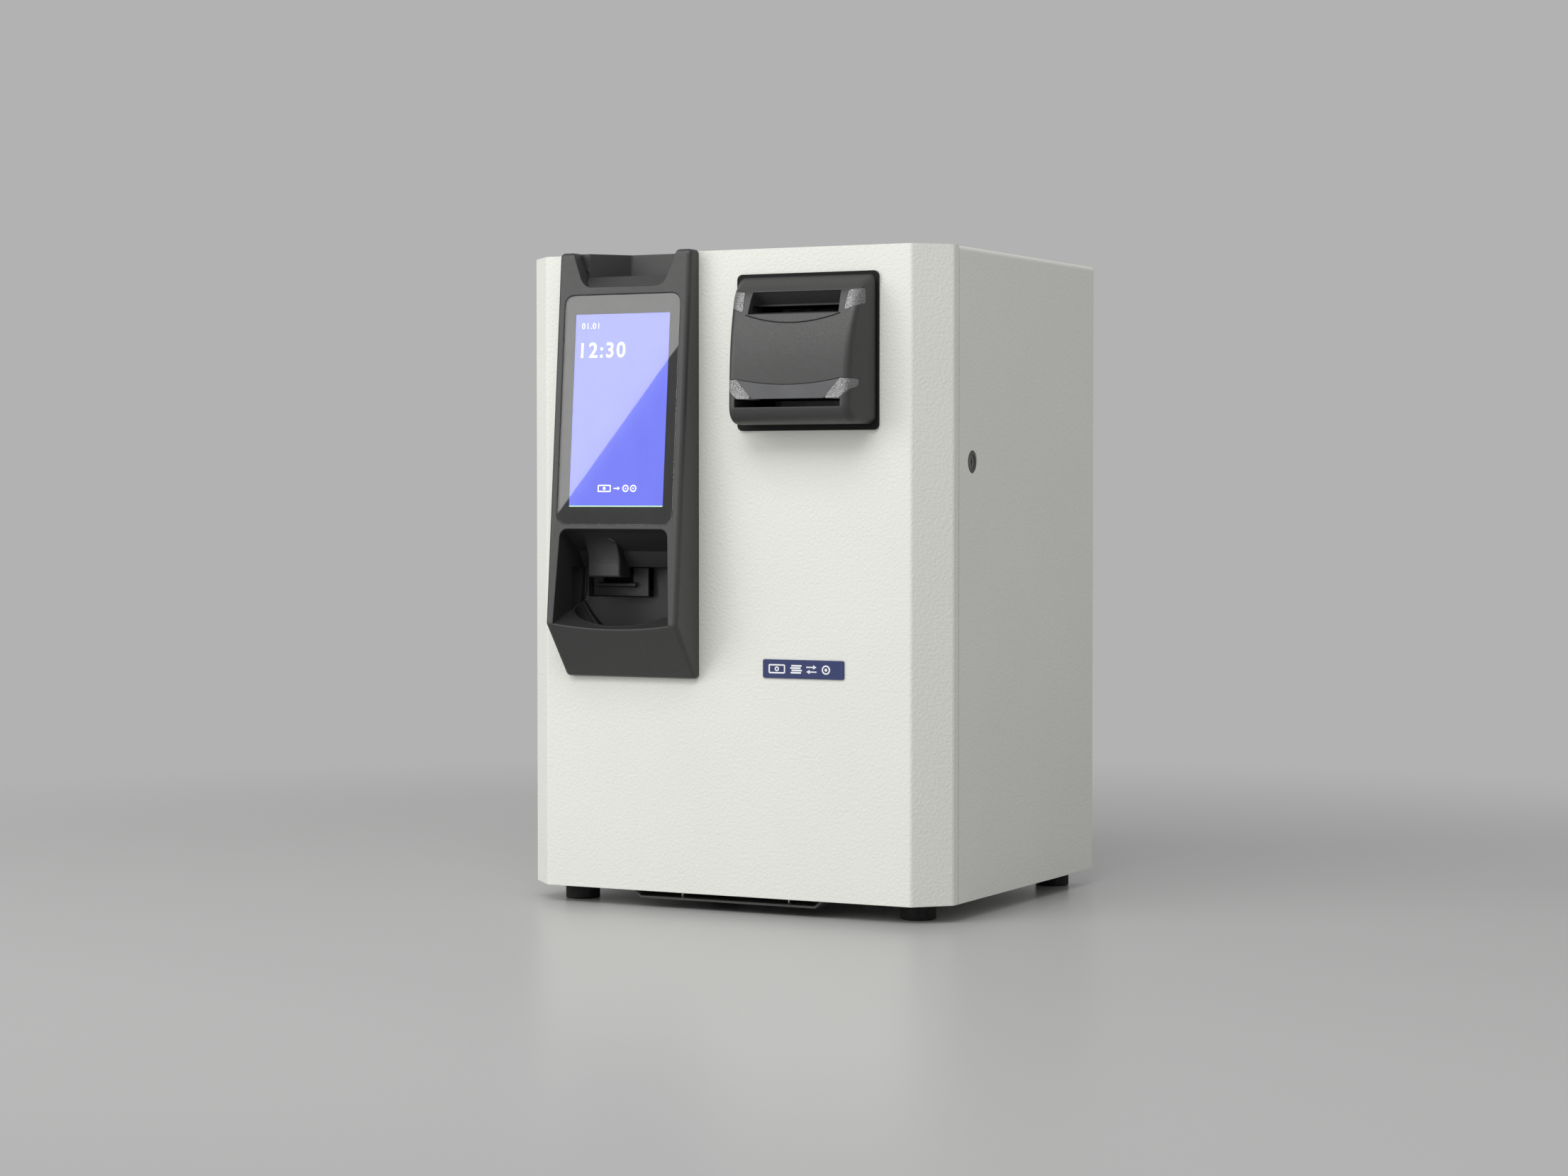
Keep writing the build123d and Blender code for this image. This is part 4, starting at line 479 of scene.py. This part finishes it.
# ---------------------------------------------------------------- flat pieces on a face
class Face:
    """The flat front of a node: its lower left corner, its right, up and outward directions, and its size."""

    def __init__(self, node, toward=Vector((0.0, -1.0, 0.0))):
        mesh = frame["nodes"][node].data
        largest = max((p for p in mesh.polygons if p.normal.dot(toward) > FACING), key=lambda p: p.area)
        self.out = largest.normal.copy()
        self.right = Vector((0, 0, 1)).cross(self.out).normalized()
        self.up = self.out.cross(self.right).normalized()
        on_face = [v.co for v in mesh.vertices if abs((v.co - largest.center).dot(self.out)) < FLAT]
        across = [p.dot(self.right) for p in on_face]
        along = [p.dot(self.up) for p in on_face]
        self.width = max(across) - min(across)
        self.height = max(along) - min(along)
        depth = largest.center.dot(self.out)
        self.corner = self.right * min(across) + self.up * min(along) + self.out * depth

    def at(self, u, v, proud=0.0):
        return self.corner + self.right * u + self.up * v + self.out * proud

    def matrix(self, proud=0.0):
        turn = Matrix((self.right, self.up, self.out)).transposed().to_4x4()
        return Matrix.Translation(self.at(0, 0, proud)) @ turn


def ring_outline(u, v, radius, steps=40):
    return [(u + radius * math.cos(a), v + radius * math.sin(a))
            for a in (2 * math.pi * i / steps for i in range(steps))]


def box_outline(u0, u1, v0, v1, radius=0.0):
    """Rectangle with rounded corners, anticlockwise."""
    if radius <= 0:
        return [(u0, v0), (u1, v0), (u1, v1), (u0, v1)]
    steps = 6
    corners = ((u1 - radius, v0 + radius, -90), (u1 - radius, v1 - radius, 0), (u0 + radius, v1 - radius, 90),
               (u0 + radius, v0 + radius, 180))
    return [(u + radius * math.cos(math.radians(start + 90 * i / steps)),
             v + radius * math.sin(math.radians(start + 90 * i / steps)))
            for u, v, start in corners for i in range(steps + 1)]


def mesh_of(curve_data):
    """The clean mesh of a filled curve, with doubled points joined."""
    stand_in = bpy.data.objects.new("outline", curve_data)
    bpy.context.scene.collection.objects.link(stand_in)
    bpy.context.view_layer.update()
    made = bpy.data.meshes.new_from_object(stand_in.evaluated_get(bpy.context.evaluated_depsgraph_get()))
    bpy.data.objects.remove(stand_in)
    work = bmesh.new()
    work.from_mesh(made)
    bmesh.ops.remove_doubles(work, verts=work.verts, dist=DOUBLED)
    bmesh.ops.recalc_face_normals(work, faces=work.faces)
    work.to_mesh(made)
    work.free()
    return made


def filled(outlines, thickness):
    """Mesh of flat shapes; an outline inside another one is its hole."""
    curve = bpy.data.curves.new("shape", "CURVE")
    curve.dimensions = "2D"
    curve.fill_mode = "BOTH"
    curve.extrude = thickness / 2
    for outline in outlines:
        spline = curve.splines.new("POLY")
        spline.points.add(len(outline) - 1)
        for point, (u, v) in zip(spline.points, outline):
            point.co = (u, v, 0.0, 1.0)
        spline.use_cyclic_u = True
    return mesh_of(curve)


def digits(text, height, weight, thickness):
    """Mesh of digits of this height, with their lower left corner at the origin."""
    curve = bpy.data.curves.new("digits", "FONT")
    curve.body = text
    curve.offset = weight
    curve.space_character = 1.2
    curve.extrude = thickness / 2 / height
    made = mesh_of(curve)
    low = [min(v.co[axis] for v in made.vertices) for axis in range(2)]
    size = height / (max(v.co.y for v in made.vertices) - low[1])
    made.transform(Matrix.Diagonal((size, size, height, 1.0)) @ Matrix.Translation((-low[0], -low[1], 0.0)))
    return made


def lay_on(face, name, mesh, u, v, proud, body, material):
    """Puts a flat mesh on a face, this far proud of it, riding on a body."""
    mesh.name = name
    piece = bpy.data.objects.new(name, mesh)
    bpy.context.scene.collection.objects.link(piece)
    mesh.transform(face.matrix(proud) @ Matrix.Translation((u, v, 0.0)))
    mesh.materials.clear()
    mesh.materials.append(material)
    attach(piece, body)
    return piece


# ---------------------------------------------------------------- operators
class CASH_OT_cabinet(bpy.types.Operator):
    """Finish the cabinet, the door's sheet, the feet and the under-floor bracket"""

    bl_idname = "cash.cabinet"
    bl_label = "Cabinet"

    def execute(self, context):
        for node in ("cabinet_wrap", "floor_panel", "rear_panel", "rear_screws", "rubber_feet", "foot_screws",
                     "anchor_bracket", "bracket_posts", "door_shell", "door_gasket", "door_catch",
                     "hinge_leaf_cabinet", "hinge_leaf_door", "hinge_pin"):
            dress(node)
        return {"FINISHED"}


class CASH_OT_lock(bpy.types.Operator):
    """Finish the cam lock in the right-hand wall"""

    bl_idname = "cash.lock"
    bl_label = "Lock"

    def execute(self, context):
        for node in ("lock_bracket", "lock_body", "lock_nut", "lock_plug", "lock_cam", "cam_screw"):
            dress(node)
        # the plug's face is duller than the bright steel that the record gives it
        frame["nodes"]["lock_plug"].data.materials[0] = finish_for("worn_plug")
        return {"FINISHED"}


class CASH_OT_terminal(bpy.types.Operator):
    """Finish the terminal column with its coin bowl, return cup, chute and flap"""

    bl_idname = "cash.terminal"
    bl_label = "Terminal"

    def execute(self, context):
        for node in ("terminal_housing", "coin_bowl", "coin_cup", "return_chute", "coin_flap"):
            dress(node)
        return {"FINISHED"}


class CASH_OT_display(bpy.types.Operator):
    """Finish the glass and the screen, and add the printed border and what the screen shows"""

    bl_idname = "cash.display"
    bl_label = "Display"

    def execute(self, context):
        settings = context.scene.cash_display
        for node in ("display_glass", "lcd_panel", "display_board"):
            dress(node)
        glass = Face("display_glass")
        panel = Face("lcd_panel")
        # dark rim of the panel beside the lit area and at its ends
        side = 3.5 * MM
        ends = 5.5 * MM
        glass_depth = 2.0 * MM
        lit_width = panel.width - 2 * side
        lit_height = panel.height - 2 * ends

        # printed border: from just inside the glass' edge to the lit area
        gap = (glass.corner - panel.corner).dot(glass.out) - glass_depth
        left = (panel.corner - glass.corner).dot(glass.right) + side
        foot = (panel.corner - glass.corner).dot(glass.up) + ends
        edge = 0.5 * MM
        border = smooth_plastic("display_border", tuple(settings.border), 0.8, 0.05, shine=0.0)
        lay_on(glass, "display_border",
               filled([box_outline(edge, glass.width - edge, edge, glass.height - edge, 7.5 * MM),
                       box_outline(left, left + lit_width, foot, foot + lit_height, 0.8 * MM)], 0.08 * MM),
               0.0, 0.0, -glass_depth - gap * 0.4, "door", border)

        # what the screen shows, at shares of the lit area's width and height
        text_left, clock_top, day_top, picture_middle = 0.066, 0.853, 0.955, 0.095
        white = glowing("screen_white", (1.0, 1.0, 1.0), 1.1)
        green = glowing("screen_green", (0.55, 0.92, 0.55), 1.0)
        proud = gap * 0.25
        ink = 0.04 * MM
        margin = side + text_left * lit_width
        clock = digits(settings.clock, settings.clock_height, 0.012, ink)
        clock_foot = ends + clock_top * lit_height - settings.clock_height
        lay_on(panel, "clock_digits", clock, margin, clock_foot, proud, "door", white)
        day = digits(settings.day, settings.day_height, 0.0, ink)
        day_foot = ends + day_top * lit_height - settings.day_height
        lay_on(panel, "day_digits", day, margin, day_foot, proud, "door", white)
        line = filled([box_outline(side, side + lit_width, ends, ends + 0.9 * MM)], ink)
        lay_on(panel, "screen_foot_line", line, 0.0, 0.0, proud, "door", green)
        self.pictogram(panel, side + lit_width / 2, ends + picture_middle * lit_height, proud, ink, white)
        return {"FINISHED"}

    def pictogram(self, panel, middle, height, proud, ink, white):
        """A banknote, an arrow and two coins: pay in, get change."""
        half = 2.9 * MM
        note = [box_outline(-17 * MM, -5 * MM, -half, half, 0.8 * MM),
                box_outline(-16 * MM, -6 * MM, -half + 1 * MM, half - 1 * MM, 0.3 * MM),
                ring_outline(-11 * MM, 0.0, 1.3 * MM, 24)]
        arrow = [[(-2.5 * MM, 0.45 * MM), (-2.5 * MM, -0.45 * MM), (1.2 * MM, -0.45 * MM),
                  (1.2 * MM, -1.6 * MM), (3.4 * MM, 0.0), (1.2 * MM, 1.6 * MM), (1.2 * MM, 0.45 * MM)]]
        coins = [outline for u in (8.5 * MM, 15.5 * MM)
                 for outline in (ring_outline(u, 0.0, half), ring_outline(u, 0.0, half - 1 * MM),
                                 ring_outline(u, 0.0, 0.7 * MM, 20))]
        shapes = filled(note + arrow + coins, ink)
        lay_on(panel, "screen_pictogram", shapes, middle, height, proud, "door", white)


class CASH_OT_note_reader(bpy.types.Operator):
    """Finish the note reader: plate, bezel, insert, lenses, guides and its light board"""

    bl_idname = "cash.note_reader"
    bl_label = "Note reader"

    def execute(self, context):
        for node in ("reader_plate", "reader_bezel", "reader_panel", "reader_lenses", "note_entry_guide",
                     "note_exit_guide", "light_board"):
            dress(node)
        return {"FINISHED"}


class CASH_OT_badge(bpy.types.Operator):
    """Finish the badge and add its raised pictograms"""

    bl_idname = "cash.badge"
    bl_label = "Badge"

    def execute(self, context):
        dress("badge_plate")
        face = Face("badge_plate")
        tall = face.height * 0.52
        half = tall / 2
        line = 1.15 * MM
        middle_v = face.height / 2
        white = smooth_plastic("badge_white", (0.86, 0.87, 0.90), 0.4, 0.1)
        shapes = []
        # banknote with its medallion
        u = face.width * 0.07
        wide = tall * 2.0
        shapes += [box_outline(u, u + wide, -half, half, 1.2 * MM),
                   box_outline(u + line, u + wide - line, -half + line, half - line, 0.5 * MM),
                   ring_outline(u + wide / 2, 0.0, 1.9 * MM), ring_outline(u + wide / 2, 0.0, 0.9 * MM, 20)]
        # stack of coins seen from the side
        u += wide + 4.0 * MM
        for level in range(4):
            foot = -half + level * tall / 4
            shift = (0.0, 0.8, -0.3, 0.5)[level] * MM
            shapes.append(box_outline(u + shift + 0.8 * MM, u + shift + 10 * MM, foot + 0.25 * MM,
                                      foot + tall / 4 - 0.25 * MM, 0.55 * MM))
        # two arrows, in and out
        u += 14.5 * MM
        for toward, v in ((1, half * 0.5), (-1, -half * 0.5)):
            tip = u + (9 * MM if toward > 0 else 0.0)
            tail = u + (0.0 if toward > 0 else 9 * MM)
            neck = tip - toward * 3 * MM
            shapes.append([(tail, v - 0.5 * MM), (neck, v - 0.5 * MM), (neck, v - 1.7 * MM), (tip, v),
                           (neck, v + 1.7 * MM), (neck, v + 0.5 * MM), (tail, v + 0.5 * MM)])
        # one coin with its rim and hub
        u += 13.5 * MM
        shapes += [ring_outline(u + half, 0.0, half), ring_outline(u + half, 0.0, half - line),
                   ring_outline(u + half, 0.0, 1.2 * MM, 24)]
        marks = filled(shapes, 0.12 * MM)
        lay_on(face, "badge_marks", marks, 0.0, middle_v, 0.03 * MM, "door", white)
        return {"FINISHED"}


class CASH_OT_note_module(bpy.types.Operator):
    """Finish the shelf, the note module and the banknote cassette behind the door"""

    bl_idname = "cash.note_module"
    bl_label = "Note module"

    def execute(self, context):
        for node in ("equipment_shelf", "shelf_rails", "note_side_plates", "note_cover", "feed_roller",
                     "transport_roller", "drive_pinion", "note_motor", "storage_drum_upper",
                     "storage_drum_lower", "note_cassette", "cassette_handle"):
            dress(node)
        return {"FINISHED"}


class CASH_OT_coin_unit(bpy.types.Operator):
    """Finish the coin hopper with its disc and motor, and the coin box"""

    bl_idname = "cash.coin_unit"
    bl_label = "Coin unit"

    def execute(self, context):
        for node in ("coin_hopper", "coin_disc", "coin_motor", "coin_box"):
            dress(node)
        return {"FINISHED"}


class CASH_OT_power(bpy.types.Operator):
    """Finish the power supply, control board, fan, inlet and rocker switch"""

    bl_idname = "cash.power"
    bl_label = "Power and boards"

    def execute(self, context):
        for node in ("power_supply", "control_board", "fan_frame", "fan_rotor", "fan_guard", "power_inlet",
                     "switch_body", "power_switch"):
            dress(node)
        return {"FINISHED"}


class CASH_OT_studio(bpy.types.Operator):
    """Make the pale floor, the even surroundings, the soft lights and the camera"""

    bl_idname = "cash.studio"
    bl_label = "Studio"

    def execute(self, context):
        settings = context.scene.cash_studio
        self.surroundings(context.scene, settings)
        self.floor(context.scene, settings)
        camera = self.camera(context.scene, settings)
        self.lights(context.scene, settings, camera)
        context.scene.view_settings.view_transform = "Standard"
        return {"FINISHED"}

    def surroundings(self, scene, settings):
        world = bpy.data.worlds.new("surroundings")
        world.use_nodes = True
        background = world.node_tree.nodes["Background"]
        background.inputs["Color"].default_value = (settings.grey, settings.grey, settings.grey, 1.0)
        background.inputs["Strength"].default_value = 1.0
        scene.world = world

    def floor(self, scene, settings):
        """A pale floor that fades into the surroundings, so that no horizon shows."""
        mesh = bpy.data.meshes.new("floor")
        disc = bmesh.new()
        bmesh.ops.create_circle(disc, cap_ends=True, radius=12.0, segments=96)
        disc.to_mesh(mesh)
        disc.free()
        floor = bpy.data.objects.new("floor", mesh)
        scene.collection.objects.link(floor)
        floor.location.z = CAD_BOX[0].z - 0.2 * MM
        paint = Finish("floor_paint")
        paint.even(Base_Color=tuple(settings.floor), Specular_IOR_Level=0.6)
        paint.join(paint.spread(paint.noise(0.4, 1.0), 0.3, 0.7, 0.30, 0.32), paint.shader.inputs["Roughness"])
        glow = paint.add("ShaderNodeEmission")
        glow.inputs["Color"].default_value = (settings.grey, settings.grey, settings.grey, 1.0)
        length = paint.add("ShaderNodeVectorMath", operation="LENGTH")
        paint.join(paint.place, length.inputs[0])
        fade_start, fade_end = 0.55, 1.6
        far = paint.add("ShaderNodeMapRange", interpolation_type="SMOOTHERSTEP")
        far.inputs["From Min"].default_value = fade_start
        far.inputs["From Max"].default_value = fade_end
        paint.join(length.outputs["Value"], far.inputs["Value"])
        blend = paint.add("ShaderNodeMixShader")
        paint.join(far.outputs["Result"], blend.inputs["Fac"])
        paint.join(paint.shader.outputs["BSDF"], blend.inputs[1])
        paint.join(glow.outputs["Emission"], blend.inputs[2])
        paint.join(blend.outputs["Shader"], paint.output.inputs["Surface"])
        mesh.materials.append(paint.material)

    def camera(self, scene, settings):
        data = bpy.data.cameras.new("camera")
        data.lens = settings.lens
        data.sensor_width = 36.0
        camera = bpy.data.objects.new("camera", data)
        camera.location = settings.camera_place
        camera.rotation_euler = (math.radians(90) - settings.camera_tilt, 0.0, settings.camera_turn)
        scene.collection.objects.link(camera)
        scene.camera = camera
        return camera

    def panel_light(self, scene, name, power, size, matrix):
        """A rectangular soft light that the camera doesn't see."""
        data = bpy.data.lights.new(name, "AREA")
        data.shape = "RECTANGLE"
        data.size, data.size_y = size
        data.energy = power
        data.color = (1.0, 1.0, 0.985)
        light = bpy.data.objects.new(name, data)
        light.matrix_world = matrix
        light.visible_camera = False
        scene.collection.objects.link(light)

    def lights(self, scene, settings, camera):
        """A large soft light above the customer's side, and a small one for the glass."""
        rise, turn = settings.key_height, settings.key_turn
        toward = Vector((-math.sin(turn) * math.cos(rise), -math.cos(turn) * math.cos(rise), math.sin(rise)))
        middle = (CAD_BOX[0] + CAD_BOX[1]) / 2
        matrix = Matrix.Translation(middle + toward * settings.key_distance) @ toward.to_track_quat(
            "Z", "Y").to_matrix().to_4x4()
        self.panel_light(scene, "key_light", settings.key, KEY_SIZE, matrix)
        self.glass_light(scene, settings, camera)

    def glass_light(self, scene, settings, camera):
        """A light whose lower edge is mirrored across the glass, from its lower left corner upwards."""
        glass = Face("display_glass")
        eye = Vector(camera.location)
        mirrored = eye - glass.out * 2 * (eye - glass.corner).dot(glass.out)
        left_height, right_height = 0.045, 0.775  # where the edge crosses the glass' sides, as shares
        low = glass.at(0.0, left_height * glass.height)
        high = glass.at(glass.width, right_height * glass.height)
        centre = glass.at(glass.width / 2, glass.height / 2)
        away = (centre - mirrored).normalized()
        plane_point = centre + away * settings.card_distance

        def on_light(point):
            ray = (point - mirrored).normalized()
            return point + ray * ((plane_point - point).dot(away) / ray.dot(away))

        start, end = on_light(low), on_light(high)
        edge = (end - start).normalized()
        inward = edge.cross(away).normalized()
        if inward.z < 0:
            inward = -inward
        turn = Matrix((edge, away.cross(edge), away)).transposed().to_4x4()
        matrix = Matrix.Translation((start + end) / 2 + inward * CARD_SIZE[1] / 2) @ turn
        self.panel_light(scene, "glass_light", settings.card, CARD_SIZE, matrix)


class CASH_PT_sidebar(bpy.types.Panel):
    """Lists the machine's pieces in the order they are made"""

    bl_idname = "CASH_PT_sidebar"
    bl_label = "Cash Machine"
    bl_space_type = "VIEW_3D"
    bl_region_type = "UI"
    bl_category = "Cash Machine"

    def draw(self, context):
        for piece in PIECES:
            self.layout.operator(piece.bl_idname)
        for group in SETTINGS:
            box = self.layout.box()
            settings = getattr(context.scene, group)
            for name in settings.bl_rna.properties.keys():
                if name not in ("rna_type", "name"):
                    box.prop(settings, name)


PIECES = (CASH_OT_cabinet, CASH_OT_lock, CASH_OT_terminal, CASH_OT_display, CASH_OT_note_reader, CASH_OT_badge,
          CASH_OT_note_module, CASH_OT_coin_unit, CASH_OT_power, CASH_OT_studio)
SETTINGS = {"cash_cabinet": CabinetSettings, "cash_plastic": PlasticSettings, "cash_display": DisplaySettings,
            "cash_studio": StudioSettings}


def register():
    for group in (*SETTINGS.values(), *PIECES, CASH_PT_sidebar):
        bpy.utils.register_class(group)
    for name, group in SETTINGS.items():
        setattr(bpy.types.Scene, name, PointerProperty(type=group))


def unregister():
    for name in SETTINGS:
        delattr(bpy.types.Scene, name)
    for group in reversed((*SETTINGS.values(), *PIECES, CASH_PT_sidebar)):
        bpy.utils.unregister_class(group)


def main():
    register()
    for piece in PIECES:
        group, name = piece.bl_idname.split(".")
        getattr(getattr(bpy.ops, group), name)()


if __name__ == "__main__":
    main()
